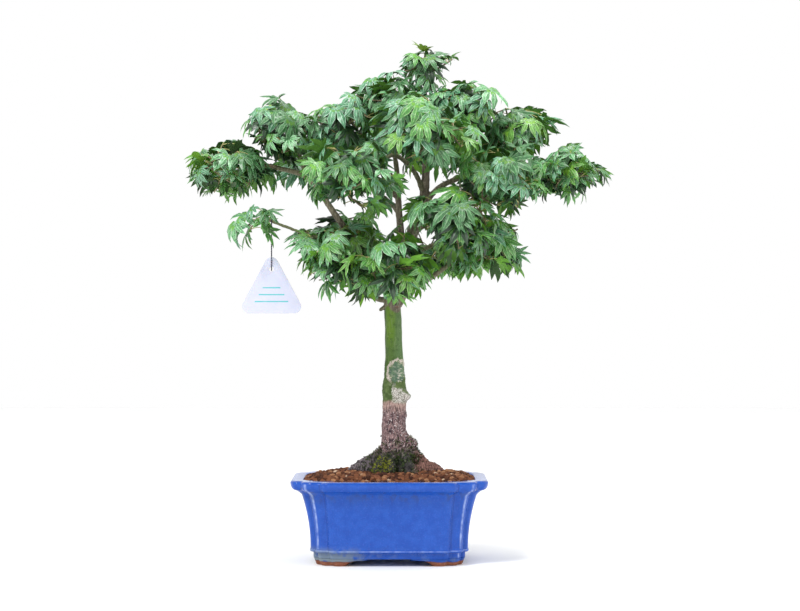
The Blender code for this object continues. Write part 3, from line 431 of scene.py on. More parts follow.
class Finish(Maker):
    """A material on a Principled shader."""

    def __init__(self, name, **constants):
        self.material = bpy.data.materials.new(name)
        self.material.use_nodes = True
        super().__init__(self.material.node_tree)
        self.shader = self.tree.nodes["Principled BSDF"]
        for key, value in constants.items():
            self.shader.inputs[key.replace("_", " ")].default_value = value

    def feed(self, **links):
        """Links what varies to the shader and gives the finished material."""
        for key, value in links.items():
            self.tree.links.new(value.socket, self.shader.inputs[key.replace("_", " ")])
        return self.material

    def where(self):
        return self.node("ShaderNodeTexCoord", out="Object")

    def axis(self, name):
        return self.node("ShaderNodeSeparateXYZ", None, {0: self.where()}, name)

    def moved(self, seed, stretch=(1, 1, 1)):
        """The place, moved by the seed so that textures differ, and drawn out by the stretch."""
        return self.node("ShaderNodeMapping", None, {"Vector": self.where(), "Location": (seed, 0, 0),
                                                     "Scale": [1 / s for s in stretch]})

    def noise(self, size, detail=3.0, stretch=(1, 1, 1), seed=0.0):
        """Noise from 0 to 1 whose blots are about size millimetres across."""
        return self.node("ShaderNodeTexNoise", None,
                         {"Vector": self.moved(seed, stretch), "Scale": 1 / (size * MM),
                          "Detail": detail, "Roughness": NOISE_ROUGHNESS})

    def cells(self, size, seed):
        """Distance from the middles of cells about size millimetres across."""
        return self.node("ShaderNodeTexVoronoi", {"feature": "F1"},
                         {"Vector": self.moved(seed), "Scale": 1 / (size * MM)}, "Distance")

    def step(self, value, low, high):
        """0 below low and 1 above high, smooth between."""
        return self.node("ShaderNodeMapRange", {"interpolation_type": "SMOOTHSTEP"},
                         {"Value": value, "From Min": low, "From Max": high})

    def band(self, value, low, full, fading, high):
        """1 between full and fading, and 0 below low and above high."""
        return self.step(value, low, full) * (1 - self.step(value, fading, high))

    def mix(self, share, first, second):
        def colour(value):
            return value if isinstance(value, Socket) else (*value, 1)
        return self.node("ShaderNodeMix", {"data_type": "RGBA"},
                         {0: share, 6: colour(first), 7: colour(second)}, 2)

    def cover(self, base, *layers):
        """The base colour with others laid over it in turn, each a (share, colour)."""
        for share, colour in layers:
            base = self.mix(share, base, colour)
        return base

    def bump(self, height, depth, strength=1.0):
        """A normal from height, whose whole range stands for depth millimetres."""
        return self.node("ShaderNodeBump", None,
                         {"Height": height, "Distance": depth * MM, "Strength": strength})

    def attribute(self, name):
        return self.node("ShaderNodeAttribute", {"attribute_name": name}, out="Fac")


# ================================================================ meshes
def new_object(name, data):
    made = bpy.data.objects.new(name, data)
    SCENE.collection.objects.link(made)
    return made


def set_values(mesh, key, values, kind="FLOAT", domain="POINT"):
    """Gives the mesh an attribute."""
    layer = mesh.attributes.new(key, kind, domain)
    layer.data.foreach_set("vector" if kind == "FLOAT_VECTOR" else "value", values)


def face_outwards(mesh, weld=False):
    """Turns the mesh's faces outwards, once doubled points are joined where asked."""
    shape = bmesh.new()
    shape.from_mesh(mesh)
    if weld:
        bmesh.ops.remove_doubles(shape, verts=shape.verts, dist=WELD)
    bmesh.ops.recalc_face_normals(shape, faces=shape.faces)
    shape.to_mesh(mesh)
    shape.free()
    return mesh


def without_faces(name, source, unwanted):
    """A mesh of the source's faces apart from the unwanted ones."""
    shape = bmesh.new()
    shape.from_mesh(source)
    bmesh.ops.delete(shape, geom=[face for face in shape.faces if unwanted(face)], context="FACES")
    mesh = bpy.data.meshes.new(name)
    shape.to_mesh(mesh)
    shape.free()
    return mesh


def mesh_from(name, verts, faces, attributes=None):
    """A mesh of points in millimetres from the pot's middle, placed in the frame, with faces outwards."""
    mesh = bpy.data.meshes.new(name)
    mesh.from_pydata([POT_CENTRE + Vector(v) * MM for v in verts], [], faces)
    for key, values in (attributes or {}).items():
        set_values(mesh, key, values)
    return face_outwards(mesh)


def add_piece(name, mesh, finish=None, smooth=True, angle=None):
    """An object in the scene, with its finish and with edges sharper than the angle kept sharp."""
    if finish:
        mesh.materials.clear()
        mesh.materials.append(finish)
    if smooth:
        mesh.shade_smooth()
        if angle:
            mesh.set_sharp_from_angle(angle=math.radians(angle))
    return new_object(name, mesh)


def loft_faces(count, levels):
    """Faces between rings of count points, closed at both ends."""
    faces = []
    for level in range(levels - 1):
        for k in range(count):
            here, after = level * count + k, level * count + (k + 1) % count
            faces.append([here, after, after + count, here + count])
    last = (levels - 1) * count
    return faces + [list(range(count)), list(range(last, last + count))]


def plain_mesh(source, name):
    """The object's shape with its modifiers, as a mesh of its own."""
    bpy.context.view_layer.update()
    graph = bpy.context.evaluated_depsgraph_get()
    mesh = bpy.data.meshes.new_from_object(source.evaluated_get(graph))
    mesh.name = name
    return mesh


def remove(thing):
    bpy.data.objects.remove(thing, do_unlink=True)


def seat(piece, slot, *nodes):
    """The piece rides with the plant and stands for CAD nodes, which it hides; the slot is not used."""
    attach(piece, "root")
    if nodes:
        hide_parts(*nodes)
    return piece


# ================================================================ geometry nodes
def new_tree(name, inputs):
    """A Geometry Nodes tree with named inputs, its maker, and its input sockets by name."""
    tree = bpy.data.node_groups.new(name, "GeometryNodeTree")
    tree.interface.new_socket("Geometry", in_out="INPUT", socket_type="NodeSocketGeometry")
    for key, kind in inputs.items():
        tree.interface.new_socket(key, in_out="INPUT", socket_type=kind)
    tree.interface.new_socket("Geometry", in_out="OUTPUT", socket_type="NodeSocketGeometry")
    maker = Maker(tree)
    entry = tree.nodes.new("NodeGroupInput")
    return tree, maker, {s.name: Socket(maker, s) for s in entry.outputs if s.name}


def end_tree(maker, result):
    finish = maker.tree.nodes.new("NodeGroupOutput")
    maker.tree.links.new(result.socket, finish.inputs[0])


def grown(name, source, tree, values):
    """The mesh that the tree makes of the source mesh."""
    base = new_object(name, source)
    modifier = base.modifiers.new(name, "NODES")
    modifier.node_group = tree
    for item in tree.interface.items_tree:
        if item.in_out == "INPUT" and item.name in values:
            modifier[item.identifier] = values[item.name]
    mesh = plain_mesh(base, name)
    remove(base)
    return mesh


def new_forms(name, meshes):
    """A collection with an object for each mesh, from which a tree picks by number."""
    forms = bpy.data.collections.new(name)
    SCENE.collection.children.link(forms)
    for mesh in meshes:
        forms.objects.link(bpy.data.objects.new(mesh.name, mesh))
    return forms


def drop_forms(forms):
    for form in list(forms.objects):
        remove(form)
    bpy.data.collections.remove(forms)


def picked(maker, given, points, sockets):
    """Instances of the forms on points, with further sockets of the node that sets them."""
    forms = maker.node("GeometryNodeCollectionInfo", None,
                       {"Collection": given["Forms"], "Separate Children": True, "Reset Children": True})
    return maker.node("GeometryNodeInstanceOnPoints", None,
                      {"Points": points, "Instance": forms, "Pick Instance": True, **sockets})


def tube_tree():
    """Edges with a thickness at each point become capped tubes."""
    tree, maker, given = new_tree("tubes_on_edges", {
        "Sides": "NodeSocketInt",
        "Material": "NodeSocketMaterial",
    })
    curve = maker.node("GeometryNodeMeshToCurve", None, {"Mesh": given["Geometry"]})
    ring = maker.node("GeometryNodeCurvePrimitiveCircle", None, {"Resolution": given["Sides"], "Radius": 1.0})
    tubes = maker.node("GeometryNodeCurveToMesh", None,
                       {"Curve": curve, "Profile Curve": ring, "Scale": maker.named("thickness"),
                        "Fill Caps": True})
    tubes = maker.node("GeometryNodeSetShadeSmooth", None, {"Geometry": tubes})
    tubes = maker.node("GeometryNodeRealizeInstances", None, {"Geometry": tubes})
    end_tree(maker, maker.node("GeometryNodeSetMaterial", None,
                               {"Geometry": tubes, "Material": given["Material"]}))
    return tree


def tubes_mesh(name, lines, sides, finish, tree):
    """One mesh of tubes along lines, each a list of (point, radius) in millimetres."""
    verts, edges, thickness = [], [], []
    for line in lines:
        first = len(verts)
        verts += [POT_CENTRE + Vector(p) * MM for p, _ in line]
        thickness += [r * MM for _, r in line]
        edges += [(first + k, first + k + 1) for k in range(len(line) - 1)]
    mesh = bpy.data.meshes.new(name)
    mesh.from_pydata(verts, edges, [])
    set_values(mesh, "thickness", thickness)
    return face_outwards(grown(name, mesh, tree, {"Sides": sides, "Material": finish}), weld=True)


def scatter_tree():
    """Forms from a collection set on points by their own turn, size and form number."""
    tree, maker, given = new_tree("forms_on_points", {
        "Forms": "NodeSocketCollection",
        "Upper": "NodeSocketMaterial",
        "Under": "NodeSocketMaterial",
    })
    turned = maker.node("FunctionNodeEulerToRotation", None, {0: maker.named("turn", "FLOAT_VECTOR")})
    placed = picked(maker, given, given["Geometry"], {"Instance Index": maker.named("form", "INT"),
                                                      "Rotation": turned, "Scale": maker.named("size")})
    made = maker.node("GeometryNodeRealizeInstances", None, {"Geometry": placed})
    side = maker.named("side", "INT")
    for number, key in enumerate(("Upper", "Under")):
        chosen = maker.node("FunctionNodeCompare", {"data_type": "INT", "operation": "EQUAL"},
                            {2: side, 3: number})
        made = maker.node("GeometryNodeSetMaterial", None,
                          {"Geometry": made, "Selection": chosen, "Material": given[key]})
    end_tree(maker, made)
    return tree


def scattered(name, leaves, forms, finishes, tree):
    """One mesh of forms, one for each leaf."""
    mesh = bpy.data.meshes.new(name)
    mesh.from_pydata([POT_CENTRE + leaf["middle"] * MM for leaf in leaves], [], [])
    set_values(mesh, "turn", [c for leaf in leaves for c in leaf["turn"].to_euler()], "FLOAT_VECTOR")
    set_values(mesh, "size", [leaf["size"] * MM for leaf in leaves])
    set_values(mesh, "form", [leaf["form"] for leaf in leaves], "INT")
    return grown(name, mesh, tree, {"Forms": forms, "Upper": finishes[0], "Under": finishes[1]})


def strewing_tree():
    """Forms strewn over a surface at a spacing, each turned, sized and toned at random."""
    tree, maker, given = new_tree("strewn_forms", {
        "Forms": "NodeSocketCollection",
        "Spacing": "NodeSocketFloat",
        "Smallest": "NodeSocketFloat",
        "Largest": "NodeSocketFloat",
        "Lift": "NodeSocketFloat",
        "Tumble": "NodeSocketFloat",
        "Seed": "NodeSocketInt",
        "Material": "NodeSocketMaterial",
    })
    spots = maker.node("GeometryNodeDistributePointsOnFaces", {"distribute_method": "POISSON"},
                       {"Mesh": given["Geometry"], "Distance Min": given["Spacing"], "Density Max": DENSEST,
                        "Seed": given["Seed"]})
    points = spots.socket.node
    upright = Socket(maker, points.outputs["Rotation"])
    size = maker.node("FunctionNodeRandomValue", {"data_type": "FLOAT"},
                      {2: given["Smallest"], 3: given["Largest"], "Seed": given["Seed"]}, 1)
    spin = maker.node("FunctionNodeRandomValue", {"data_type": "FLOAT_VECTOR"},
                      {0: (-ANY_TURN,) * 3, 1: (ANY_TURN,) * 3, "Seed": given["Seed"]})
    parts = maker.node("ShaderNodeSeparateXYZ", None, {0: spin}).socket.node
    tilt = [Socket(maker, parts.outputs[k]) * given["Tumble"] for k in (0, 1)]
    own = maker.node("ShaderNodeCombineXYZ", None,
                     {0: tilt[0], 1: tilt[1], 2: Socket(maker, parts.outputs[2])})
    rotation = maker.node("FunctionNodeRotateRotation", {"rotation_space": "LOCAL"},
                          {0: upright, 1: maker.node("FunctionNodeEulerToRotation", None, {0: own})})
    placed = picked(maker, given, spots, {"Rotation": rotation, "Scale": size})
    lifted = maker.node("ShaderNodeCombineXYZ", None, {2: given["Lift"]})
    placed = maker.node("GeometryNodeTranslateInstances", None, {"Instances": placed, "Translation": lifted})
    tone = maker.node("FunctionNodeRandomValue", {"data_type": "FLOAT"}, {"Seed": TONE_SEED}, 1)
    placed = maker.node("GeometryNodeStoreNamedAttribute", {"data_type": "FLOAT", "domain": "INSTANCE"},
                        {"Geometry": placed, "Name": "tone", "Value": tone})
    made = maker.node("GeometryNodeRealizeInstances", None, {"Geometry": placed})
    end_tree(maker, maker.node("GeometryNodeSetMaterial", None,
                               {"Geometry": made, "Material": given["Material"]}))
    return tree


def strewn(name, source, forms, tree, rule, finish):
    """A mesh of forms over the source mesh by a rule whose lengths are in millimetres."""
    return grown(name, source, tree, {
        "Forms": forms,
        "Spacing": rule["spacing"] * MM,
        "Smallest": rule["size"][0] * MM,
        "Largest": rule["size"][1] * MM,
        "Lift": rule["lift"] * MM,
        "Tumble": rule["tumble"],
        "Seed": rule["seed"],
        "Material": finish,
    })


# ================================================================ paths and tubes
def smooth_path(points, pieces):
    """A smooth run through the points: each stretch is a Bezier whose handles follow the neighbours."""
    spots = [Vector(p) for p in points]
    slopes = []
    for k in range(len(spots)):
        before, after = spots[max(k - 1, 0)], spots[min(k + 1, len(spots) - 1)]
        slopes.append((after - before) / (1 if k in (0, len(spots) - 1) else 2))
    path = []
    for k in range(len(spots) - 1):
        run = interpolate_bezier(spots[k], spots[k] + slopes[k] / 3, spots[k + 1] - slopes[k + 1] / 3,
                                 spots[k + 1], pieces + 1)
        path += run[:-1]
    path.append(spots[-1])
    return path


def ramp(stops, share):
    """The value at share of a list of (share, value) stops, straight between them."""
    for (low, first), (high, second) in zip(stops, stops[1:]):
        if share <= high:
            return first + (second - first) * (share - low) / (high - low)
    return stops[-1][1]


def bell(distance, width):
    return math.exp(-((distance / width) ** 2))


class Limb:
    """A limb's centre line and its radius along it, in millimetres."""

    def __init__(self, path, radii):
        self.path = [Vector(p) for p in path]
        self.radii = radii
        steps = [(b - a).length for a, b in zip(self.path, self.path[1:])]
        self.marks = [sum(steps[:k]) / sum(steps) for k in range(len(self.path))]
        self.length = sum(steps)

    def at(self, share):
        """The point, the radius and the direction at a share of the length."""
        last = len(self.path) - 2
        k = next((k for k in range(last) if share <= self.marks[k + 1]), last)
        low, high = self.marks[k], self.marks[k + 1]
        part = (share - low) / (high - low)
        place = self.path[k].lerp(self.path[k + 1], part)
        radius = self.radii[k] + (self.radii[k + 1] - self.radii[k]) * part
        return place, radius, (self.path[k + 1] - self.path[k]).normalized()


def tapered(path, radius_at):
    """A limb along the path whose radius follows from the share of its length."""
    line = Limb(path, [])
    line.radii = [radius_at(mark) for mark in line.marks]
    return line


def add_faces(faces, first, more):
    """Adds faces whose points are counted from first."""
    faces += [[first + v for v in face] for face in more]


def sweep(path, radii, sides, verts, faces):
    """Adds a capped tube along the path to the lists; its rings follow the path without twisting."""
    first = len(verts)
    along = (path[1] - path[0]).normalized()
    across = along.orthogonal().normalized()
    for k, centre in enumerate(path):
        before, after = path[max(k - 1, 0)], path[min(k + 1, len(path) - 1)]
        turned = (after - before).normalized()
        across = (along.rotation_difference(turned) @ across).normalized()
        along = turned
        other = along.cross(across)
        for s in range(sides):
            angle = 2 * math.pi * s / sides
            verts.append(centre + (across * math.cos(angle) + other * math.sin(angle)) * radii[k])
    add_faces(faces, first, loft_faces(sides, len(path)))


# ================================================================ camera, light and floor
def make_camera():
    data = bpy.data.cameras.new("camera")
    data.sensor_width = SENSOR
    data.lens = FOCAL_PIXELS * SENSOR / FRAME_WIDTH
    data.clip_end = CLIP_END
    made = new_object("camera", data)
    made.location = POT_CENTRE + Vector((CAMERA_RIGHT, -CAMERA_DISTANCE, CAMERA_HEIGHT)) * MM
    made.rotation_euler = (math.pi / 2, 0, 0)
    SCENE.camera = made


def soft_light(name, place, size, watts):
    """A square studio light at a place in metres, facing the plant."""
    data = bpy.data.lights.new(name, "AREA")
    data.shape = "SQUARE"
    data.size = size
    data.energy = watts
    made = new_object(name, data)
    made.location = place
    made.rotation_euler = (Vector(LIGHT_AIM) - Vector(place)).to_track_quat("-Z", "Y").to_euler()


def make_studio():
    world = bpy.data.worlds.new("studio")
    SCENE.world = world
    world.use_nodes = True
    world.node_tree.nodes["Background"].inputs["Color"].default_value = (1.0, 1.0, 1.0, 1)
    world.node_tree.nodes["Background"].inputs["Strength"].default_value = 1.0
    for light in LIGHTS:
        soft_light(*light)
    SCENE.view_settings.view_transform = "Standard"
    finish = Finish("pale_floor", Roughness=0.7)
    cloud = finish.noise(180, 2.0)
    skin = finish.feed(Base_Color=finish.mix(cloud, (0.9, 0.9, 0.9), (0.94, 0.94, 0.94)))
    corners = [(x * FLOOR_HALF, y * FLOOR_HALF, 0) for x, y in ((-1, -1), (1, -1), (1, 1), (-1, 1))]
    mesh = bpy.data.meshes.new("floor")
    mesh.from_pydata(corners, [], [(0, 1, 2, 3)])
    add_piece("floor", mesh, skin, smooth=False)


# ================================================================ materials
def glaze_parts(finish, lean):
    """Clouds in the glaze, how far left a point lies, and stains, which lean that way."""
    cloud = finish.step(finish.noise(9, 4.0, seed=1.0), 0.36, 0.66)
    left = 1 - finish.step(finish.axis("X") / MM, -60.0, -20.0)
    return cloud, left, finish.step(finish.noise(12, 4.0, seed=17.0) + left * lean, 0.5, 0.66)


def glaze_finish():
    """Blue glaze: two blues in clouds, violet flecks, pinholes, painted shade under the lip and in the hollow
    corners, and paler where it ran thin on edges, with a painted highlight there.
    """
    finish = Finish("blue_glaze", IOR=1.37)
    cloud, left, stain = glaze_parts(finish, 0.2)
    fine = finish.step(finish.noise(1.6, 3.0, seed=3.0), 0.52, 0.72)
    speckle = finish.step(finish.noise(0.9, 3.0, seed=4.0), 0.5, 0.66)
    drips = finish.step(finish.noise(5, 3.0, (1, 1, 6), seed=5.0), 0.5, 0.75)
    pinholes = 1 - finish.step(finish.cells(3.4, seed=2.0), 0.05, 0.09)
    pits = pinholes * finish.step(finish.noise(14, 2.0, seed=8.0), 0.52, 0.6)
    rise = finish.axis("Z") / MM
    # painted shade under the lip, broken into clouds and drips
    under_lip_shade = finish.band(rise, 58, 73, 74, 79) * finish.step(drips + cloud, 0.4, 1.3)
    worn = finish.attribute("worn")
    patch = finish.step(finish.noise(6, 4.0, seed=11.0), 0.3, 0.75)
    low = 1 - finish.step(rise, 10.0, 22.0)
    colour = finish.cover(
        finish.mix(cloud * 0.6, (0.004, 0.062, 0.36), (0.012, 0.088, 0.44)),
        (fine * 0.35, (0.035, 0.11, 0.52)),
        (speckle * 0.4, (0.012, 0.035, 0.28)),
        (drips * 0.3, (0.003, 0.045, 0.31)),
        (pits * 0.85, (0.012, 0.018, 0.06)),
        (under_lip_shade * 0.7, (0.016, 0.05, 0.2)),
        # painted shade in the hollow corners, then thin glaze with a painted highlight on the outer corners,
        # ridge and rim, in patches
        (finish.step(0 - worn, 0.1, 0.4) * 0.6, (0.004, 0.03, 0.2)),
        (finish.step(worn, 0.4, 0.95) * (0.12 + patch * 0.6), (0.42, 0.52, 0.8)),
        (stain * low * (0.25 + left * 0.75) * 0.85, (0.16, 0.21, 0.24)),
    )
    waves = finish.noise(16, 2.0, seed=21.0)
    height = waves * 0.35 + finish.noise(2.2, 3.0, seed=23.0) * 0.08 - pits * 0.25
    return finish.feed(Base_Color=colour, Roughness=0.12 + fine * 0.1 + pits * 0.4,
                       Normal=finish.bump(height, 0.5, 0.8))


def foot_finish():
    """Glaze down to a wavy line, and bare red-brown clay below it."""
    finish = Finish("glazed_foot_over_clay", IOR=1.37)
    cloud, left, stain = glaze_parts(finish, 0.25)
    glaze = finish.cover(finish.mix(cloud * 0.6, (0.004, 0.06, 0.33), (0.012, 0.085, 0.42)),
                         (stain * (0.3 + left * 0.6), (0.2, 0.25, 0.26)))
    grain = finish.noise(1.2, 5.0, seed=31.0)
    line = 4.6 + (finish.noise(11, 2.0, seed=33.0) - 0.5) * 3.4
    above = finish.axis("Z") / MM - line
    glazed = finish.step(above, -0.25, 0.25)
    rim = finish.step(above, -1.1, 0.0) * (1 - glazed)
    clay = finish.cover(finish.mix(finish.step(grain, 0.35, 0.7), (0.17, 0.055, 0.03), (0.33, 0.13, 0.075)),
                        (rim * 0.7, (0.09, 0.05, 0.06)))
    return finish.feed(Base_Color=finish.mix(glazed, clay, glaze), Roughness=0.85 - glazed * 0.68,
                       Normal=finish.bump(grain * (1 - glazed) + glazed * 1.6, 0.4, 0.9))


def soil_finish(name, packed):
    """Baked clay in reddish browns with dust and pores: one tone a grain, or clouds of tone where packed."""
    finish = Finish(name, Specular_IOR_Level=0.25)
    tone = finish.noise(4.5, 2.0, seed=41.0) if packed else finish.attribute("tone")
    pores = finish.noise(0.9, 5.0, seed=43.0)
    colour = finish.cover(
        finish.mix(finish.step(tone, 0.05, 0.7), (0.045, 0.015, 0.009), (0.19, 0.072, 0.034)),
        (finish.step(tone, 0.75, 0.97), (0.34, 0.17, 0.085)),
        (finish.step(tone, 0.97, 0.99) * 0.7, (0.6, 0.47, 0.35)),
        (finish.step(pores, 0.58, 0.8) * 0.5, (0.04, 0.014, 0.009)),
    )
    return finish.feed(Base_Color=colour, Roughness=0.86 + pores * 0.12, Normal=finish.bump(pores, 0.5, 1.0))


def bark_finish():
    """Bark by height: black mossy foot, mottled brown, corky tan, then smooth green, and brown limbs."""
    finish = Finish("maple_bark", Specular_IOR_Level=0.3)
    height = finish.axis("Z") / MM
    right = finish.axis("X") / MM - POT_CENTRE.x / MM
    ragged = (finish.noise(7, 4.0, seed=51.0) - 0.5) * 26
    streak = finish.noise(1.5, 5.0, (1, 1, 7), seed=53.0)
    mottle = finish.noise(1.5, 4.0, (1, 1, 3), seed=54.0)
    fleck = finish.step(finish.noise(0.9, 2.0, (1.4, 1.4, 1), seed=55.0), 0.6, 0.68)
    patch = finish.noise(5, 4.0, seed=57.0)
    grit = finish.noise(0.8, 3.0, seed=61.0)

    algae = finish.step(finish.noise(3.5, 4.0, seed=62.0), 0.48, 0.62)
    black = finish.cover(
        finish.mix(finish.step(patch, 0.4, 0.65), (0.012, 0.011, 0.012), (0.055, 0.047, 0.05)),
        (finish.step(grit, 0.52, 0.7) * 0.6, (0.15, 0.14, 0.13)),
        (algae * 0.7, (0.035, 0.06, 0.018)),
    )
    root = finish.mix(finish.step(streak, 0.35, 0.65), (0.028, 0.023, 0.028), (0.22, 0.185, 0.2))
    ruddy = finish.mix(finish.step(streak, 0.35, 0.65), (0.045, 0.018, 0.016), (0.32, 0.165, 0.135))
    root = finish.mix(finish.step(right, 12.0, 26.0), root, ruddy)
    far = 1 - finish.step(right, -22.0, -10.0) + finish.step(right, 22.0, 31.0)
    foot = finish.mix(far * finish.step(grit + patch, 0.72, 1.02), black, root)
    brown = finish.cover(
        finish.mix(finish.step(mottle, 0.36, 0.64), (0.024, 0.015, 0.02), (0.24, 0.148, 0.146)),
        (finish.step(streak, 0.5, 0.7) * 0.4, (0.12, 0.07, 0.085)),
        (finish.step(patch, 0.52, 0.7) * 0.35, (0.31, 0.21, 0.19)),
        (fleck * 0.9, (0.74, 0.67, 0.66)),
    )
    tan = finish.mix(finish.step(mottle, 0.34, 0.66), (0.17, 0.105, 0.09), (0.42, 0.29, 0.25))
    cork = finish.cover(
        finish.mix(finish.step(patch, 0.35, 0.6), (0.3, 0.26, 0.235), (0.12, 0.115, 0.085)),
        (finish.step(grit + mottle * 0.4, 0.64, 0.78) * 0.9, (0.72, 0.69, 0.64)),
    )
    olive = finish.mix(finish.step(patch, 0.4, 0.62), (0.05, 0.085, 0.022), (0.105, 0.155, 0.05))
    inner = finish.mix(finish.step(patch, 0.4, 0.62), (0.075, 0.13, 0.085), (0.13, 0.2, 0.12))
    dash = finish.step(finish.noise(1.5, 3.0, (3.2, 3.2, 1), seed=59.0), 0.56, 0.63)

    # a painted highlight: a bright strip down the front of the green stem
    painted_highlight_strip = finish.band(right, -5.0, -1.0, 2.0, 8.0) * finish.step(height, 214, 236)
    pale = 1 - finish.step(finish.cells(5.2, seed=3.0), 0.0, 0.085)
    # the smooth green stem, a little lighter to the right, with painted shade down its left side
    green = finish.cover(
        finish.mix(finish.step(right, 1.0, 9.0), (0.068, 0.135, 0.02), (0.074, 0.145, 0.04)),
        (1 - finish.step(right, -5.5, -3.0), (0.035, 0.06, 0.022)),
        (painted_highlight_strip * 0.75, (0.12, 0.235, 0.01)),
        (finish.step(streak, 0.52, 0.7) * 0.45, (0.17, 0.24, 0.09)),
        (finish.step(patch, 0.5, 0.66) * 0.6, (0.036, 0.075, 0.014)),
        (finish.step(grit, 0.56, 0.66) * 0.35, (0.2, 0.24, 0.12)),
        (pale * 0.8, (0.62, 0.62, 0.5)),
    )

    wide, tall = (right - RING["x"]) / RING["wide"], (height - RING["z"]) / RING["tall"]
    apart = wide * wide + tall * tall + (patch - 0.5) * 1.5 + (grit - 0.5) * 0.7
    open_end = finish.step(tall - wide * 0.4 + (patch - 0.5) * 1.2, -0.75, -0.2)
    on_ring = finish.band(apart, 0.6, 0.74, 1.1, 1.26) * open_end
    in_ring = 1 - finish.step(apart, 0.5, 0.65)
    band = height - 172.0 + (right - 6.0) * 0.55 + (patch - 0.5) * 16
    under = finish.step(right + (patch - 0.5) * 18, 0.0, 5.0) * (1 - finish.step(band, 4.0, 10.0))
    on_right = finish.band(height, 168, 178, 200, 206) * finish.step(right, 7.0, 11.0)
    colour = finish.cover(
        finish.mix(finish.step(height + ragged * 0.8, 106, 118), foot, brown),
        (finish.step(height + ragged * 0.7, 148, 164), tan),
        (finish.step(height + ragged * 0.35, 161, 166), olive),
        (finish.step(height + (patch - 0.5) * 8, 186, 196), green),
        (under * finish.step(height + ragged * 0.3, 160, 166), cork),
        (in_ring, inner),
        (dash * (0.25 + on_right * 0.7) * in_ring, (0.6, 0.55, 0.47)),
        (on_ring * finish.step(grit + mottle, 0.82, 0.94) * 0.9, (0.58, 0.5, 0.45)),
    )

    aged = finish.cover(
        finish.mix(finish.step(streak, 0.35, 0.7), (0.07, 0.056, 0.038), (0.22, 0.19, 0.135)),
        (fleck * 0.5, (0.4, 0.36, 0.28)),
        (finish.attribute("slim") * 0.6, (0.1, 0.13, 0.04)),
    )
    colour = finish.cover(
        colour,
        (finish.step(height + ragged * 0.6, 284, 312), aged),
        (finish.attribute("limb"), aged),
        (1 - finish.step(finish.attribute("cut"), 0.2, 0.8), (0.16, 0.03, 0.022)),
    )
    rough_zone = 1 - finish.step(height, 196, 214) * 0.75
    relief = (mottle * 0.6 + patch * 0.5 + grit * 0.6) * rough_zone
    return finish.feed(Base_Color=colour, Roughness=0.5 + rough_zone * 0.36,
                       Normal=finish.bump(relief, 0.7, 0.9))


def twig_finish(name, dark, light):
    finish = Finish(name, Roughness=0.6, Specular_IOR_Level=0.35)
    tone = finish.noise(3.5, 3.0, seed=71.0)
    grain = finish.noise(0.9, 3.0, seed=73.0)
    return finish.feed(Base_Color=finish.mix(finish.step(tone, 0.35, 0.65), dark, light),
                       Normal=finish.bump(grain, 0.2, 0.6))


def leaf_finishes(shade):
    """The upper side of one shade of leaf, with its veins and a painted highlight along its edge, and its
    underside.
    """
    upper, vein, under = SHADES[shade][:3]
    finish = Finish(f"leaf_{shade}_upper", Specular_IOR_Level=0.55)
    crinkle = finish.noise(2.2, 3.0, seed=81.0)
    rib = finish.attribute("rib")
    side_veins = finish.node("ShaderNodeMath", {"operation": "PINGPONG"},
                             {0: finish.attribute("along") * 13 - rib * 1.6, 1: 0.5})
    darker = tuple(c * 0.42 for c in upper)
    colour = finish.cover(
        finish.mix(finish.step(crinkle, 0.32, 0.68), darker, upper),
        ((1 - finish.step(side_veins, 0.04, 0.14)) * 0.22, vein),
        ((1 - finish.step(rib, 0.05, 0.14)) * 0.5, vein),
        # a painted highlight along the leaf's edge
        (finish.step(rib, 0.84, 0.94) * 0.75, vein),
    )
    relief = crinkle + finish.step(side_veins, 0.04, 0.2) * 0.3 + finish.step(rib, 0.1, 0.25) * 0.4
    above = finish.feed(Base_Color=colour, Roughness=0.27 + crinkle * 0.14,
                        Normal=finish.bump(relief, 0.28, 0.6))
    finish = Finish(f"leaf_{shade}_under", Specular_IOR_Level=0.3)
    down = finish.noise(2.2, 3.0, seed=83.0)
    darker = tuple(c * 0.75 for c in under)
    below = finish.feed(Base_Color=finish.mix(finish.step(down, 0.3, 0.7), darker, under),
                        Roughness=0.5 + down * 0.15, Normal=finish.bump(down, 0.25, 0.6))
    return above, below


def moss_finish():
    """Moss: dark green strands, and a bright yellow-green tuft in front."""
    finish = Finish("moss", Roughness=0.8, Specular_IOR_Level=0.2)
    tone = finish.attribute("tone")
    aside = (finish.axis("X") - POT_CENTRE.x) / MM - MOSS_TUFT[0]
    ahead = (finish.axis("Y") - POT_CENTRE.y) / MM
    above = finish.axis("Z") / MM - MOSS_TUFT[1]
    spot = aside * aside * 0.6 + above * above
    bright = (1 - finish.step(spot, 60.0, 130.0)) * (1 - finish.step(ahead, -12.0, -6.0))
    dull = finish.cover(finish.mix(finish.step(tone, 0.2, 0.9), (0.016, 0.026, 0.011), (0.085, 0.13, 0.03)),
                        (finish.step(tone, 0.9, 0.96), (0.3, 0.28, 0.22)))
    fresh = finish.mix(tone, (0.05, 0.085, 0.01), (0.4, 0.42, 0.05))
    return finish.feed(Base_Color=finish.mix(bright, dull, fresh))


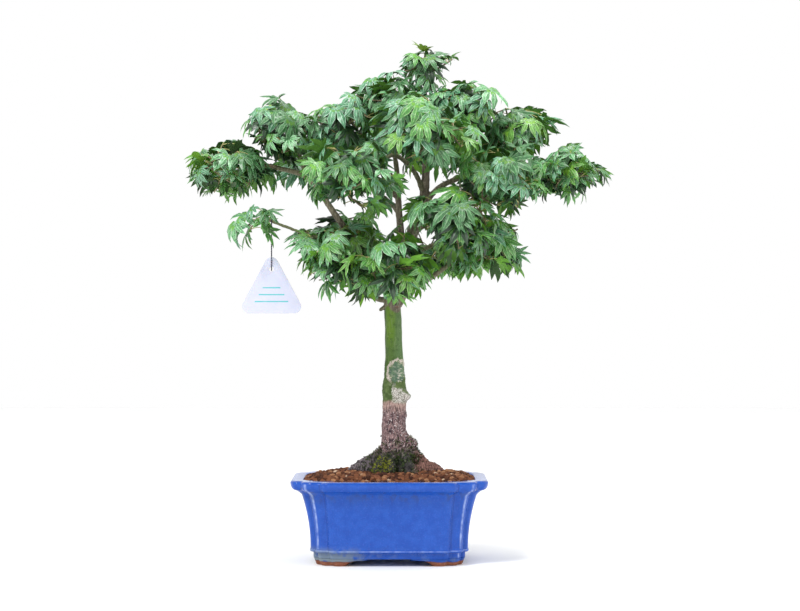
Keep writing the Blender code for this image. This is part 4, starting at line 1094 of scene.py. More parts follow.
def tag_finish():
    """Milky plastic with a faint sheen, handling marks and ruled lines."""
    finish = Finish("tag_plastic", Coat_Weight=0.25, Coat_Roughness=0.15, Subsurface_Weight=0.08)
    cloud = finish.noise(14, 3.0, seed=101.0)
    marks = finish.step(finish.noise(1.4, 4.0, (8, 1, 1), seed=103.0), 0.62, 0.72)
    aside = abs((finish.axis("X") - POT_CENTRE.x) / MM - TAG_X)
    height = finish.axis("Z") / MM
    colour = finish.mix(cloud, (0.47, 0.49, 0.64), (0.56, 0.57, 0.69))
    for line_height, half_width in TAG_LINES:
        on_line = 1 - finish.step(abs(height - line_height), 0.55, 0.75)
        on_line = on_line * (1 - finish.step(aside, half_width, half_width + 0.2))
        colour = finish.mix(on_line * 0.9, colour, (0.02, 0.42, 0.44))
    return finish.feed(Base_Color=finish.mix(marks * 0.2, colour, (0.5, 0.52, 0.68)),
                       Roughness=0.3 + marks * 0.2, Normal=finish.bump(cloud + marks * 0.1, 0.2, 0.5))


def thread_finish():
    """Dark blue thread in two tones, with a fine grain."""
    finish = Finish("tie_thread")
    grain = finish.noise(0.8, 4.0, seed=111.0)
    colour = finish.mix(finish.step(grain, 0.35, 0.65), (0.012, 0.014, 0.03), (0.05, 0.055, 0.09))
    return finish.feed(Base_Color=colour, Roughness=0.6 + grain * 0.1, Normal=finish.bump(grain, 0.15, 0.7))


# ================================================================ pot
def pot_steps(share, inset=0.0):
    """The corners of the stepped outline in its first quarter: share 0 is the body's foot and 1 the rim."""
    sides = {}
    for part, rim in POT_RIM.items():
        foot = POT_FOOT[part]
        sides[part] = [foot[k] + (rim[k] - foot[k]) * share - inset for k in (0, 1)]
    side, corner, panel = sides["side"], sides["corner"], sides["panel"]
    return [(side[0], side[1]), (corner[0], side[1]), (corner[0], corner[1]), (panel[0], corner[1]),
            (panel[0], panel[1])]


def rounded(sharp):
    """A closed outline with rounded corners, and how far each point stands out (1) or lies in (-1)."""
    points, outer = [], []
    for k, spot in enumerate(sharp):
        here, last, after = Vector(spot), Vector(sharp[k - 1]), Vector(sharp[(k + 1) % len(sharp)])
        back, ahead = last - here, after - here
        convex = ahead.cross(back) > 0
        shorter = min(back.length, ahead.length)
        start, end = [arm.normalized() * min((CORNER_SHARE if convex else HOLLOW_SHARE) * arm.length,
                                             CORNER_STRETCH * shorter) for arm in (back, ahead)]
        for step in range(CORNER_STEPS + 1):
            turn = math.pi / 2 * step / CORNER_STEPS
            points.append(here + start * (1 - math.sin(turn)) + end * (1 - math.cos(turn)))
            outer.append(math.sin(2 * turn) ** EDGE_SHARPNESS * (1 if convex else -1))
    return points, outer


def pot_outline(share, inset=0.0):
    """The pot's stepped outline, and its edge marks: thin glaze with a painted highlight on the outer corners
    and painted shade in the hollow ones, most on the corner between side and panel.
    """
    quarter = pot_steps(share, inset)
    sharp = quarter + [(-x, y) for x, y in reversed(quarter)]
    sharp += [(-x, -y) for x, y in sharp]
    points, outer = rounded(sharp)
    worn = [stand * (1.0 if k // (CORNER_STEPS + 1) % 5 == 2 else STEP_WEAR_HIGHLIGHT_AND_SHADE) for k, stand in enumerate(outer)]
    return points, worn


def pot_levels():
    """Height, share, inset, and wear with a painted highlight, up the outside, over the rim and down the
    inside.
    """
    levels = [(POT_UNDERSIDE + up, BASE_SHARE, inset, 0) for up, inset in UNDERSIDE_EDGE]
    levels.append((RIDGE_HEIGHT - RIDGE_FOOT, BASE_SHARE, 0, 0))
    for step in range(9):
        turn = math.pi * step / 8 - math.pi / 2
        start = BASE_SHARE if turn < 0 else BODY_SHARE
        # the ridge: thin glaze with a painted highlight along it
        levels.append((RIDGE_HEIGHT + RIDGE_HALF * math.sin(turn),
                       start + (RIDGE_SHARE - start) * math.cos(turn), 0,
                       0.8 * max(0, math.cos(turn - 0.4)) ** 3))
    for step in range(13):
        rise = step / 12
        levels.append((BODY_BOTTOM + (BODY_TOP - BODY_BOTTOM) * rise,
                       BODY_SHARE + (SHOULDER_SHARE - BODY_SHARE) * rise ** BODY_HOLLOW, 0, 0))
    for step in range(1, 7):
        rise = step / 6
        levels.append((BODY_TOP + (NOSE_BOTTOM - BODY_TOP) * rise,
                       SHOULDER_SHARE + (NOSE_SHARE - SHOULDER_SHARE) * rise ** COVE_HOLLOW, 0, 0))
    inward, down = RIM_ROUNDING
    for step in range(1, 10):
        turn = math.pi / 2 * step / 9
        levels.append((NOSE_BOTTOM + (POT_TOP - down - NOSE_BOTTOM) * (1 - math.cos(turn)),
                       NOSE_SHARE + (1 - NOSE_SHARE) * math.sin(turn), 0, 0))
    for step in range(1, 10):
        turn = math.pi / 2 * step / 9
        # over the rim's outer round: wear with a painted reflection, growing towards the top
        levels.append((POT_TOP - down * (1 - math.sin(turn)), 1.0, inward * (1 - math.cos(turn)),
                       0.9 * math.sin(turn) ** 4))
    for step in range(7):
        turn = math.pi / 2 * step / 6
        # the rim's top and inner round: pale, wear with a painted reflection
        levels.append((POT_TOP - INNER_ROUNDING * (1 - math.cos(turn)), 1.0,
                       RIM_WIDTH - INNER_ROUNDING + INNER_ROUNDING * math.sin(turn), 0.6))
    levels.append((BODY_TOP, SHOULDER_SHARE, WALL, 0))
    levels.append((FLOOR_TOP + 3, 0.05, WALL, 0))
    levels.append((FLOOR_TOP, 0.0, WALL + 3, 0))
    return levels


def make_pot():
    verts, worn = [], []
    levels = pot_levels()
    for z, share, inset, edge in levels:
        outline, corners = pot_outline(share, inset)
        verts += [(p.x, p.y, z) for p in outline]
        # each point's wear, painted highlight and painted shade: its level's, or else its corner's below the
        # rim's top
        worn += [edge or corner * (z < POT_TOP - 0.1) for corner in corners]
    count = len(verts) // len(levels)
    mesh = mesh_from("pot_shell", verts, loft_faces(count, len(levels)), {"worn": worn})
    seat(add_piece("pot_shell", mesh, glaze_finish(), angle=50), "glaze", "pot")


def make_feet():
    """Four feet round the corners of the base's steps, each thickening into the pot in a curve."""
    levels = [(0.0, 1.0, 0.7), (0.3, 1.0, 0.2)]
    for k in range(FOOT_SHOULDER_STEPS, -1, -1):
        turn = math.pi / 2 * k / FOOT_SHOULDER_STEPS
        levels.append((max(FOOT_SHOULDER * math.cos(turn), 0.8), math.sin(turn), 0.0))
    levels.append((POT_UNDERSIDE + 0.2, 0.0, 0.0))
    finish = foot_finish()
    for depth, side_y in (("front", -1), ("back", 1)):
        for hand, side_x in (("left", -1), ("right", 1)):
            verts = []
            for height, shortening, softening in levels:
                gap_x, gap_y = [top + (sole - top) * shortening + softening
                                for top, sole in zip(FOOT_TOP_GAP, FOOT_SOLE_GAP)]
                inset = FOOT_INSET[1] + (FOOT_INSET[0] - FOOT_INSET[1]) * height / POT_UNDERSIDE + softening
                steps = pot_steps(BASE_SHARE, inset)
                wide = FOOT_WIDTH - 2 * softening
                inner_x, inner_y = steps[0][0] - wide, steps[-1][1] - wide
                plan = [(steps[0][0], gap_y)] + steps
                plan += [(gap_x, steps[-1][1]), (gap_x, inner_y), (inner_x, inner_y), (inner_x, gap_y)]
                verts += [(side_x * p.x, side_y * p.y, height) for p in rounded(plan)[0]]
            count = len(verts) // len(levels)
            mesh = mesh_from(f"pot_foot_{depth}_{hand}", verts, loft_faces(count, len(levels)))
            piece = add_piece(f"pot_foot_{depth}_{hand}", mesh, finish, angle=50)
            seat(piece, "clay", f"foot_{depth}_{hand}")


# ================================================================ soil and moss
def soil_edge():
    """The soil's outline, just inside the pot's wall."""
    rim_share = (SOIL_EDGE - BODY_TOP) / (POT_TOP - BODY_TOP)
    return pot_outline(SHOULDER_SHARE + (1 - SHOULDER_SHARE) * rim_share,
                       WALL + (RIM_WIDTH - WALL) * rim_share + SOIL_GAP)[0]


def heap(share):
    """The soil's height at a share of the way from the trunk to the pot's wall."""
    stops = [(s, SOIL_EDGE + (SOIL_CROWN - SOIL_EDGE) * rise) for s, rise in reversed(SOIL_HEAP)]
    return SOIL_CROWN if share < stops[0][0] else ramp(stops, share)


def make_soil_bed():
    """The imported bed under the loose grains: rings from the wall in to the trunk, roughly broken."""
    edge = soil_edge()
    narrowing, bottom = SOIL_BOTTOM
    verts = [(p.x * narrowing, p.y * narrowing, bottom) for p in edge]
    for ring in range(SOIL_RINGS):
        share = 1 - ring / SOIL_RINGS
        for p in edge:
            spot = Vector((p.x * share, p.y * share, 0))
            rough = noise.fractal(spot * 0.22, 0.7, 2.0, 3) * SOIL_ROUGHNESS
            verts.append((spot.x, spot.y, heap(share) - SOIL_BED_DROP + rough))
    mesh = mesh_from("soil_bed", verts, loft_faces(len(edge), SOIL_RINGS + 1))
    return seat(add_piece("soil_bed", mesh, soil_finish("packed_soil", True)), "soil", "soil")


def grain_forms():
    """Rounded, chipped lumps of 48 triangles, about one across."""
    rng = random.Random(5)
    meshes = []
    for number in range(GRAIN_FORMS):
        shape = bmesh.new()
        bmesh.ops.create_cube(shape, size=1.0)
        bmesh.ops.subdivide_edges(shape, edges=shape.edges, cuts=1, use_grid_fill=True)
        squash = (rng.uniform(0.85, 1.1), rng.uniform(0.8, 1.0), rng.uniform(0.6, 0.85))
        for vert in shape.verts:
            out = vert.co.normalized() * 0.5
            out = out.lerp(vert.co, 0.28) * rng.uniform(0.86, 1.12)
            vert.co = Vector([out[k] * squash[k] for k in range(3)])
        bmesh.ops.triangulate(shape, faces=shape.faces)
        bmesh.ops.recalc_face_normals(shape, faces=shape.faces)
        mesh = bpy.data.meshes.new(f"grain_{number}")
        shape.to_mesh(mesh)
        shape.free()
        meshes.append(mesh)
    return new_forms("grain_forms", meshes)


def moss_forms():
    """Small rosettes of pointed blades, about one across."""
    rng = random.Random(6)
    meshes = []
    for number in range(MOSS_FORMS):
        verts, faces = [], []
        for k in range(MOSS_BLADES):
            angle = 2 * math.pi * k / MOSS_BLADES + rng.uniform(-0.3, 0.3)
            rise = rng.uniform(0.5, 1.1)
            way = Vector((math.cos(angle), math.sin(angle), 0))
            side = Vector((-way.y, way.x, 0)) * 0.1
            verts += [side, -side, Vector((0, 0, 0.18)), way * 0.5 + Vector((0, 0, rise))]
            add_faces(faces, 4 * k, ((0, 1, 3), (1, 2, 3), (2, 0, 3), (0, 2, 1)))
        mesh = bpy.data.meshes.new(f"moss_{number}")
        mesh.from_pydata(verts, [], faces)
        meshes.append(face_outwards(mesh))
    return new_forms("moss_forms", meshes)


def make_moss(bark, tree):
    """Moss over the roots and the trunk's foot, thick in places and bare in others."""
    def bare(face):
        spot = (face.calc_center_median() - POT_CENTRE) / MM
        cover = noise.noise(spot * 0.11) + noise.noise(spot * 0.4) * 0.4
        tuft = math.hypot((spot.x - MOSS_TUFT[0]) * 0.8, spot.z - MOSS_TUFT[1]) < 9.5 and spot.y < -8
        lump = math.hypot(spot.x - MOSS_LUMP[0], (spot.z - MOSS_LUMP[1]) * 0.8) < 9
        thick = -0.12 if spot.z < MOSS_TOP - 12 else 0.25
        return spot.z > MOSS_TOP or not (tuft or lump or cover > thick) or abs(spot.x - 3.0) > MOSS_REACH

    surface = without_faces("moss_surface", bark.data, bare)
    forms = moss_forms()
    mesh = strewn("moss_tufts", surface, forms, tree, MOSS, moss_finish())
    drop_forms(forms)
    seat(add_piece("moss_tufts", mesh, smooth=False), "bark", "trunk")


def make_grains(bed, tree):
    """Loose grains over the top of the bed, and finer crumbs between them."""
    def beside(face):
        return face.normal.z < SOIL_SLOPE or face.calc_center_median().z < SOIL_TOP_FROM * MM

    surface = without_faces("grain_surface", bed.data, beside)
    forms = grain_forms()
    finish = soil_finish("baked_clay_grains", False)
    for name, rule in (("soil_grains", GRAINS), ("soil_crumbs", CRUMBS)):
        mesh = strewn(name, surface, forms, tree, rule, finish)
        seat(add_piece(name, mesh, angle=60), "soil")
    drop_forms(forms)


# ================================================================ trunk and limbs
def turn_between(angle, heading):
    """The turn in degrees from a heading to an angle in radians, at most half a turn either way."""
    return (math.degrees(angle) - heading + 180) % 360 - 180


def root_reach(angle):
    """How far the surface roots stand out at an angle round the trunk's foot."""
    reach = 0.0
    for heading, length, spread in ROOTS:
        reach += length * bell(math.radians(turn_between(angle, heading)), math.radians(spread))
    return reach


def trunk_line():
    return tapered(smooth_path(TRUNK_PATH, 8), lambda share: ramp(TRUNK_RADIUS, share))


def add_trunk(verts, faces, line):
    first = len(verts)
    for level in range(TRUNK_RINGS + 1):
        share = (level / TRUNK_RINGS) ** 1.35
        centre = line.at(share)[0]
        height = centre.z - TRUNK_PATH[0][2]
        flare = (1 - min(height / FLARE_HEIGHT, 1.0) ** 1.5) ** 2
        for k in range(TRUNK_SIDES):
            angle = 2 * math.pi * k / TRUNK_SIDES
            out = ramp(TRUNK_RADIUS, share) + flare * root_reach(angle)
            for heading, bump_height, size, spread, depth in BUMPS:
                out += size * bell(turn_between(angle, heading), spread) * bell(centre.z - bump_height, depth)
            x, y = centre.x + out * math.cos(angle), centre.y + out * math.sin(angle)
            verts.append(Vector((x, y, centre.z)))
    add_faces(faces, first, loft_faces(TRUNK_SIDES, TRUNK_RINGS + 1))


def limb_radius(name, share, foot, tip):
    """Taper from foot to tip, with the burl where this limb has it."""
    radius = foot + (tip - foot) * share ** 0.8
    if name == BURL["limb"]:
        radius *= 1 + (BURL["size"] - 1) * bell(share - BURL["at"], BURL["spread"])
    return radius


def limb_lines(trunk):
    """The centre line of every limb, starting inside the one that bears it."""
    lines = {"trunk": trunk}
    for name, (parent, share, foot, tip, points) in LIMBS.items():
        start, parent_radius, along = lines[parent].at(share)
        if share < 1.0:
            out = (Vector(points[0]) - start).normalized()
            side = (out - along * out.dot(along)).normalized()
            start = start + side * parent_radius * LIMB_SINK
        path = smooth_path((tuple(start), *points), LIMB_PIECES)
        lines[name] = tapered(path, lambda mark: limb_radius(name, mark, foot, tip))
    return lines


def carve_bark(mesh):
    """Pushes the joined surface out and in for furrows, the corky ring, flakes and growth lines."""
    count = len(mesh.vertices)
    places = np.empty(count * 3, dtype=np.float32)
    mesh.vertices.foreach_get("co", places)
    normals = np.empty(count * 3, dtype=np.float32)
    mesh.vertex_normals.foreach_get("vector", normals)
    places, normals = places.reshape(-1, 3), normals.reshape(-1, 3)
    local = (places - np.array(POT_CENTRE)) / MM
    push = np.zeros(count)
    for k in range(count):
        x, y, z = local[k]

        def broken(across, along, roughness, octaves):
            return noise.fractal(Vector((x * across, y * across, z * along)), roughness, 2.0, octaves)

        if z < BARK_FOOT_TOP:
            angle = math.atan2(y, x - BARK_MIDDLE)
            round_trunk = Vector((math.cos(angle) * 2.4, math.sin(angle) * 2.4, z * 0.02))
            cleft = noise.ridged_multi_fractal(round_trunk, 0.9, 2.0, 2, 1.0, 2.0)
            push[k] = broken(0.22, 0.16, 0.6, 4) * 1.7
            push[k] += (cleft - 1.0) * 1.5 * min(1.0, (BARK_FOOT_TOP - z) / 14)
        elif z < BARK_STEM_TOP and abs(x - BARK_MIDDLE) < BARK_STEM_REACH:
            old = min(1.0, max(0.0, (BARK_OLD_TOP - z) / 26))
            furrow = noise.ridged_multi_fractal(Vector((x * 0.36, y * 0.36, z * 0.1)), 0.9, 2.0, 3, 1.0, 2.0)
            flake = broken(0.3, 0.3, 0.7, 3)
            grit = broken(0.8, 0.6, 0.8, 2)
            waves = noise.noise(Vector((x, y, z)) * 0.09) * 0.5
            push[k] = old * ((furrow - 1.0) * 0.12 + flake * 0.42 + grit * 0.3) + waves
            ring = math.hypot((x - RING["x"]) / RING["wide"], (z - RING["z"]) / RING["tall"])
            push[k] += bell(ring - 0.95, 0.16) * (0.5 + flake * 0.5)
        else:
            push[k] = broken(0.2, 0.2, 0.7, 3) * 0.34
    local = local + normals * push[:, None]
    places = local * MM + np.array(POT_CENTRE)
    mesh.vertices.foreach_set("co", places.astype(np.float32).ravel())
    mesh.update()


def mark_limbs(mesh, lines):
    """Marks limbs, slim limbs and the cut end of the stub for the bark's colours."""
    spots = []
    for name, line in lines.items():
        for place, radius in zip(line.path, line.radii):
            spots.append((place, 0.0 if name == "trunk" else 1.0, radius))
    tree = KDTree(len(spots))
    for k, (place, _, _) in enumerate(spots):
        tree.insert(POT_CENTRE + place * MM, k)
    tree.balance()
    limb, slim = [], []
    for vert in mesh.vertices:
        near = tree.find_n(vert.co, 3)
        weight = sum(1 / (d + 1e-4) for _, _, d in near)
        limb.append(sum(spots[k][1] / (d + 1e-4) for _, k, d in near) / weight)
        radius = sum(spots[k][2] / (d + 1e-4) for _, k, d in near) / weight
        slim.append(max(0.0, min(1.0, (3.4 - radius) / 1.4)))
    end, end_radius = STUBS[0][-1]
    end = Vector(end)
    cut = [min(1.0, ((v.co - POT_CENTRE) / MM - end).length / (end_radius * 1.1)) for v in mesh.vertices]
    for key, values in (("cut", cut), ("limb", limb), ("slim", slim)):
        set_values(mesh, key, values)


def make_bark(lines):
    """Trunk and limbs grown together into one skin, with the bark's relief."""
    verts, faces = [], []
    add_trunk(verts, faces, lines["trunk"])
    for name in LIMBS:
        line = lines[name]
        collar = LIMBS[name][2] * COLLAR_LENGTH
        radii = [r * (1 + COLLAR * math.exp(-mark * line.length / collar))
                 for r, mark in zip(line.radii, line.marks)]
        sweep(line.path, radii, LIMB_SIDES, verts, faces)
    for stub in STUBS:
        sweep([Vector(p) for p, _ in stub], [r for _, r in stub], STUB_SIDES, verts, faces)
    source = add_piece("bark_source", mesh_from("bark_source", verts, faces), smooth=False)
    remesh = source.modifiers.new("grow_together", "REMESH")
    remesh.mode = "VOXEL"
    remesh.voxel_size = BARK_VOXEL * MM
    soften = source.modifiers.new("soften", "SMOOTH")
    soften.factor = 0.5
    soften.iterations = 4
    mesh = plain_mesh(source, "trunk_and_limbs")
    remove(source)
    carve_bark(mesh)
    mark_limbs(mesh, lines)
    return seat(add_piece("trunk_and_limbs", mesh, bark_finish()), "bark", "trunk", *LIMBS)


# ================================================================ leaves
def leaf_lobes(rng, closing):
    """A leaf's lobes from one side to the other: angle, length and edge points, each a little its own."""
    both = [(-angle, share, points) for angle, share, points in reversed(LOBES)] + list(LOBES[1:])
    return [(angle * closing, share * rng.uniform(0.9, 1.08), points) for angle, share, points in both]


def lobe_line(rng, angle, length, points, cupped):
    """A lobe's vein: a point, the direction across and the upward normal at each station out to the tip."""
    fall = rng.uniform(*LOBE_FALL) * (CUPPED["fall"] if cupped else 1.0)
    start = rng.uniform(*LOBE_RISE) + (CUPPED["rise"] if cupped else 0.0)
    sway = rng.uniform(-LOBE_SWAY, LOBE_SWAY)
    place, line, low = Vector(), [], 0.0
    for high in [share for share, _ in points] + [1.0]:
        middle = (low + high) / 2
        pitch = start - fall * middle ** 1.25
        heading = math.radians(angle) + sway * middle ** 2
        flat = math.cos(pitch)
        way = Vector((math.cos(heading) * flat, math.sin(heading) * flat, math.sin(pitch)))
        place = place + way * (high - low) * length
        across = Vector((-math.sin(heading), math.cos(heading), 0))
        line.append((place, across, way.cross(across)))
        low = high
    return line


def leaf_form(number, rng):
    """One leaf lying along +X, its middle lobe one long: points with their places, faces and their sides.

    A lobe is a ridge along its vein that falls to both edges and bends down to a long point. The underside
    runs straight across between the edges, so the leaf is closed. A point's place is its share of the way
    from the vein to the edge and of the way from the hub to the tip. Side 0 is the upper one and side 1 the
    underside.
    """
    cupped = number % CUPPED_EVERY == CUPPED_EVERY - 1
    lobes = leaf_lobes(rng, CUPPED["closing"] if cupped else 1.0)
    fold = rng.uniform(*LEAF_FOLD)
    verts, places, faces, sides = [], [], [], []

    def point(spot, rib, along):
        verts.append(spot)
        places.append((rib, along))
        return len(verts) - 1

    def face(side, *corners):
        faces.append(corners)
        sides.append(side)

    hub = point(Vector(), 0.0, 0.0)
    below = point(Vector((0, 0, -BLADE_THICKNESS * 3)), 0.0, 0.0)
    back = point(Vector((-0.035, 0, -BLADE_THICKNESS)), 1.0, 0.0)
    first, last = lobes[0], lobes[-1]
    before, after = (first[0] - END_SINUS, *first[1:]), (last[0] + END_SINUS, *last[1:])
    pairs = [(first, before), *zip(lobes, lobes[1:]), (last, after)]
    gaps = []
    for one, other in pairs:
        angle = math.radians((one[0] + other[0]) / 2)
        reach = SINUS * (one[1] + other[1]) / 2
        spot = Vector((math.cos(angle) * reach, math.sin(angle) * reach, reach * SINUS_RISE))
        gaps.append(point(spot, 1.0, SINUS))
    for side, middle in ((0, hub), (1, below)):
        face(side, middle, back, gaps[0])
        face(side, middle, gaps[-1], back)
    for (angle, length, points), right, left in zip(lobes, gaps, gaps[1:]):
        line = lobe_line(rng, angle, length, points, cupped)
        vein = hub
        for (share, width), (place, across, normal) in zip(points, line):
            half = width * LOBE_WIDTH * (0.75 + 0.25 * length)
            edge = place - normal * half * fold
            new_vein = point(place, 0.0, share)
            new_right = point(edge - across * half * rng.uniform(0.9, 1.1), 1.0, share)
            new_left = point(edge + across * half * rng.uniform(0.9, 1.1), 1.0, share)
            face(0, vein, right, new_right, new_vein)
            face(0, vein, new_vein, new_left, left)
            if vein == hub:
                face(1, below, left, new_left, new_right, right)
            else:
                face(1, right, left, new_left, new_right)
            vein, right, left = new_vein, new_right, new_left
        tip = point(line[-1][0], 0.5, 1.0)
        face(0, vein, right, tip)
        face(0, vein, tip, left)
        face(1, right, left, tip)
    return verts, places, faces, sides


def leaf_forms():
    """A collection of the leaf forms: faces carry their side, and points their place, as attributes."""
    rng = random.Random(17)
    meshes = []
    for number in range(LEAF_FORMS):
        verts, places, faces, sides = leaf_form(number, rng)
        mesh = bpy.data.meshes.new(f"leaf_form_{number:02d}")
        mesh.from_pydata(verts, [], faces)
        set_values(mesh, "side", sides, "INT", "FACE")
        for key, values in zip(("rib", "along"), zip(*places)):
            set_values(mesh, key, values)
        face_outwards(mesh)
        mesh.shade_smooth()
        mesh.set_sharp_from_angle(angle=math.radians(40))
        meshes.append(mesh)
    return new_forms("leaf_forms", meshes)


def leaf_guard(root, heading, pitch, droop, roll, length, petiole):
    """A plain leaf of few faces, which finds room for a real one, with the real one's middle and turn."""
    ahead = Vector((math.cos(heading), math.sin(heading), 0))
    side = Vector((-ahead.y, ahead.x, 0))
    up = Vector((0, 0, 1))
    stalk = ahead * math.cos(pitch) + up * math.sin(pitch)
    blade = ahead * math.cos(droop) - up * math.sin(droop)
    across = Matrix.Rotation(roll, 3, blade) @ side
    normal = blade.cross(across)
    middle = root + stalk * petiole

    def reach(angle, share):
        turn = math.radians(angle)
        out = length * share * GUARD_SHARE
        flat = middle + blade * out * math.cos(turn) + across * out * math.sin(turn)
        return flat - normal * out * share * LOBE_DROP

    edge = []
    inner_lobes = (*reversed(LOBES[:-1]), (0, 0, None))
    for (angle, share, _), (inner, inner_share, _) in zip(reversed(LOBES), inner_lobes):
        edge.append(reach(-angle, share))
        if inner_share:
            edge.append(reach(-(angle + inner) / 2, SINUS * 1.2))
    edge += [middle + (p - middle).reflect(across) for p in reversed(edge[:-1])]
    verts = [middle, *edge]
    faces = [(0, k, k + 1) for k in range(1, len(edge))]
    turn = Matrix((blade, across, normal)).transposed()
    return {"verts": verts, "faces": faces, "middle": middle, "turn": turn, "root": root, "stalk": stalk,
            "size": length, "petiole": petiole}


def twig_guard(start, end, thick, thin):
    """A three-sided twig between two points, which finds room for a real one."""
    along = (end - start).normalized()
    turn = along.to_track_quat("Z", "Y").to_matrix()
    verts = []
    for centre, radius in ((start, thick), (end, thin)):
        for k in range(3):
            angle = 2 * math.pi * k / 3 + 0.3
            verts.append(centre + turn @ Vector((math.cos(angle), math.sin(angle), 0)) * radius)
    return verts, [(0, 2, 1), (3, 4, 5), (0, 1, 4, 3), (1, 2, 5, 4), (2, 0, 3, 5)]


class Crown:
    """Keeps each mass to its own space and clear of everything that is already there."""

    def __init__(self):
        self.trees = []
        self.middles = []
        self.reaches = []

    def add(self, tree, verts):
        low = Vector([min(v[k] for v in verts) for k in range(3)])
        high = Vector([max(v[k] for v in verts) for k in range(3)])
        self.trees.append(tree)
        self.middles.append(tuple((low + high) / 2))
        self.reaches.append((high - low).length / 2)

    def seal(self):
        """Readies the table of places, which each later piece then joins."""
        self.table = np.array([(*m, r) for m, r in zip(self.middles, self.reaches)])

    def nearness(self, name, point):
        centre, half = MASSES[name][1], MASSES[name][2]
        return math.sqrt(sum(((point[k] - centre[k]) / half[k]) ** 2 for k in range(3))) / CROWN_FULLNESS

    def owns(self, name, point, limit):
        mine = self.nearness(name, point)
        if mine > limit:
            return False
        return all(mine < self.nearness(other, point) for other in NEIGHBOURS[name])

    def clear(self, verts, faces, touching=()):
        """The shape's tree if it meets nothing that stands, apart from the pieces it grows on."""
        low = np.min(verts, axis=0)
        high = np.max(verts, axis=0)
        middle, reach = (low + high) / 2, np.linalg.norm(high - low) / 2
        apart = np.linalg.norm(self.table[:, :3] - middle, axis=1) - self.table[:, 3] - reach
        tree = BVHTree.FromPolygons(verts, faces)
        for index in np.nonzero(apart < 0)[0]:
            if self.trees[index] not in touching and self.trees[index].overlap(tree):
                return None
        return tree

    def stand(self, tree, verts):
        self.add(tree, verts)
        self.table = np.vstack([self.table, (*self.middles[-1], self.reaches[-1])])


def meeting(name):
    """The masses whose space may reach into that of the named one."""
    centre, half = MASSES[name][1], MASSES[name][2]
    found = []
    for other, (_, middle, size, _) in MASSES.items():
        gap = max(abs(centre[k] - middle[k]) - (half[k] + size[k]) * CROWN_FULLNESS * 1.1 for k in range(3))
        if other != name and gap < 0:
            found.append(other)
    return found


NEIGHBOURS = {name: meeting(name) for name in MASSES}


def has_room(point, spare=0.0):
    """Whether a point stays in the plant's own box, with some room to spare above and beside it."""
    place = POT_CENTRE + point * MM
    return all(low + spare * MM < place[k] < high - spare * MM
               for k, (low, high) in enumerate(zip(*cad_bounds)))


def shows_sky(point):
    """Whether a point lies before or behind one of the crown's gaps, as seen from the front."""
    nearer = CAMERA_DISTANCE / (CAMERA_DISTANCE + point.y)
    x = CAMERA_RIGHT + (point.x - CAMERA_RIGHT) * nearer
    z = CAMERA_HEIGHT + (point.z - CAMERA_HEIGHT) * nearer
    return any(((x - middle_x) / wide) ** 2 + ((z - middle_z) / tall) ** 2 < 1
               for middle_x, middle_z, wide, tall in SKY_GAPS)


def ragged_limit(point):
    """How far out leaves may reach at a point, so that the crown's outline is ragged and not round."""
    return 1.0 + RAGGEDNESS * noise.noise(point / RAGGED_SIZE)


def on_twig(twig, share):
    """A point on a twig, which bows a little between its ends."""
    start, end = twig["start"], twig["end"]
    return start.lerp(end, share) + twig["bow"] * 4 * share * (1 - share)


def find_twig(rng, crown, name, twigs):
    """A twig to the emptiest of a few places in the mass, from the nearest twig; None if it doesn't fit."""
    centre, half = Vector(MASSES[name][1]), MASSES[name][2]
    best, far = None, -1.0
    for _ in range(TWIG_CANDIDATES):
        way = Vector((rng.gauss(0, 1), rng.gauss(0, 1), rng.gauss(0, 1))).normalized()
        depth = TWIG_REACH * rng.uniform(0.4, 1.0)
        spot = centre + Vector([way[k] * half[k] * depth for k in range(3)])
        room = min((spot - twig["end"]).length for twig in twigs)
        if room > far:
            best, far = spot, room
    parent = min(twigs, key=lambda t: (on_twig(t, 0.7) - best).length)
    share = rng.uniform(*TWIG_FORK)
    root = on_twig(parent, share)
    bearer = parent["radii"][0] + (parent["radii"][1] - parent["radii"][0]) * share
    radii = [max(bearer * taper, TWIG_THINNEST * taper / TWIG_TAPER[0]) for taper in TWIG_TAPER]
    length = (best - root).length
    if length < SHORTEST_TWIG or shows_sky(best) or not has_room(best, TWIG_ROOM):
        return None
    if not crown.owns(name, best, TWIG_LIMIT):
        return None
    verts, faces = twig_guard(root, best, *radii)
    tree = crown.clear(verts, faces, [parent["tree"]])
    if not tree:
        return None
    crown.stand(tree, verts)
    bow = Vector((rng.gauss(0, 1), rng.gauss(0, 1), -abs(rng.gauss(0, 1)))) * length * TWIG_BOW
    return {"start": root, "end": best, "bow": bow, "tree": tree, "radii": radii}


def grow_twigs(rng, crown, name, stem_tree, stem, wanted):
    """Twigs whose ends spread evenly through the mass, after its stem."""
    twigs = [{"start": stem[0], "end": stem[1], "bow": Vector(), "tree": stem_tree, "radii": STEM_RADIUS}]
    failed = 0
    while len(twigs) <= wanted and failed < TWIG_FAILURES:
        twig = find_twig(rng, crown, name, twigs)
        if twig:
            twigs.append(twig)
        else:
            failed += 1
    return twigs


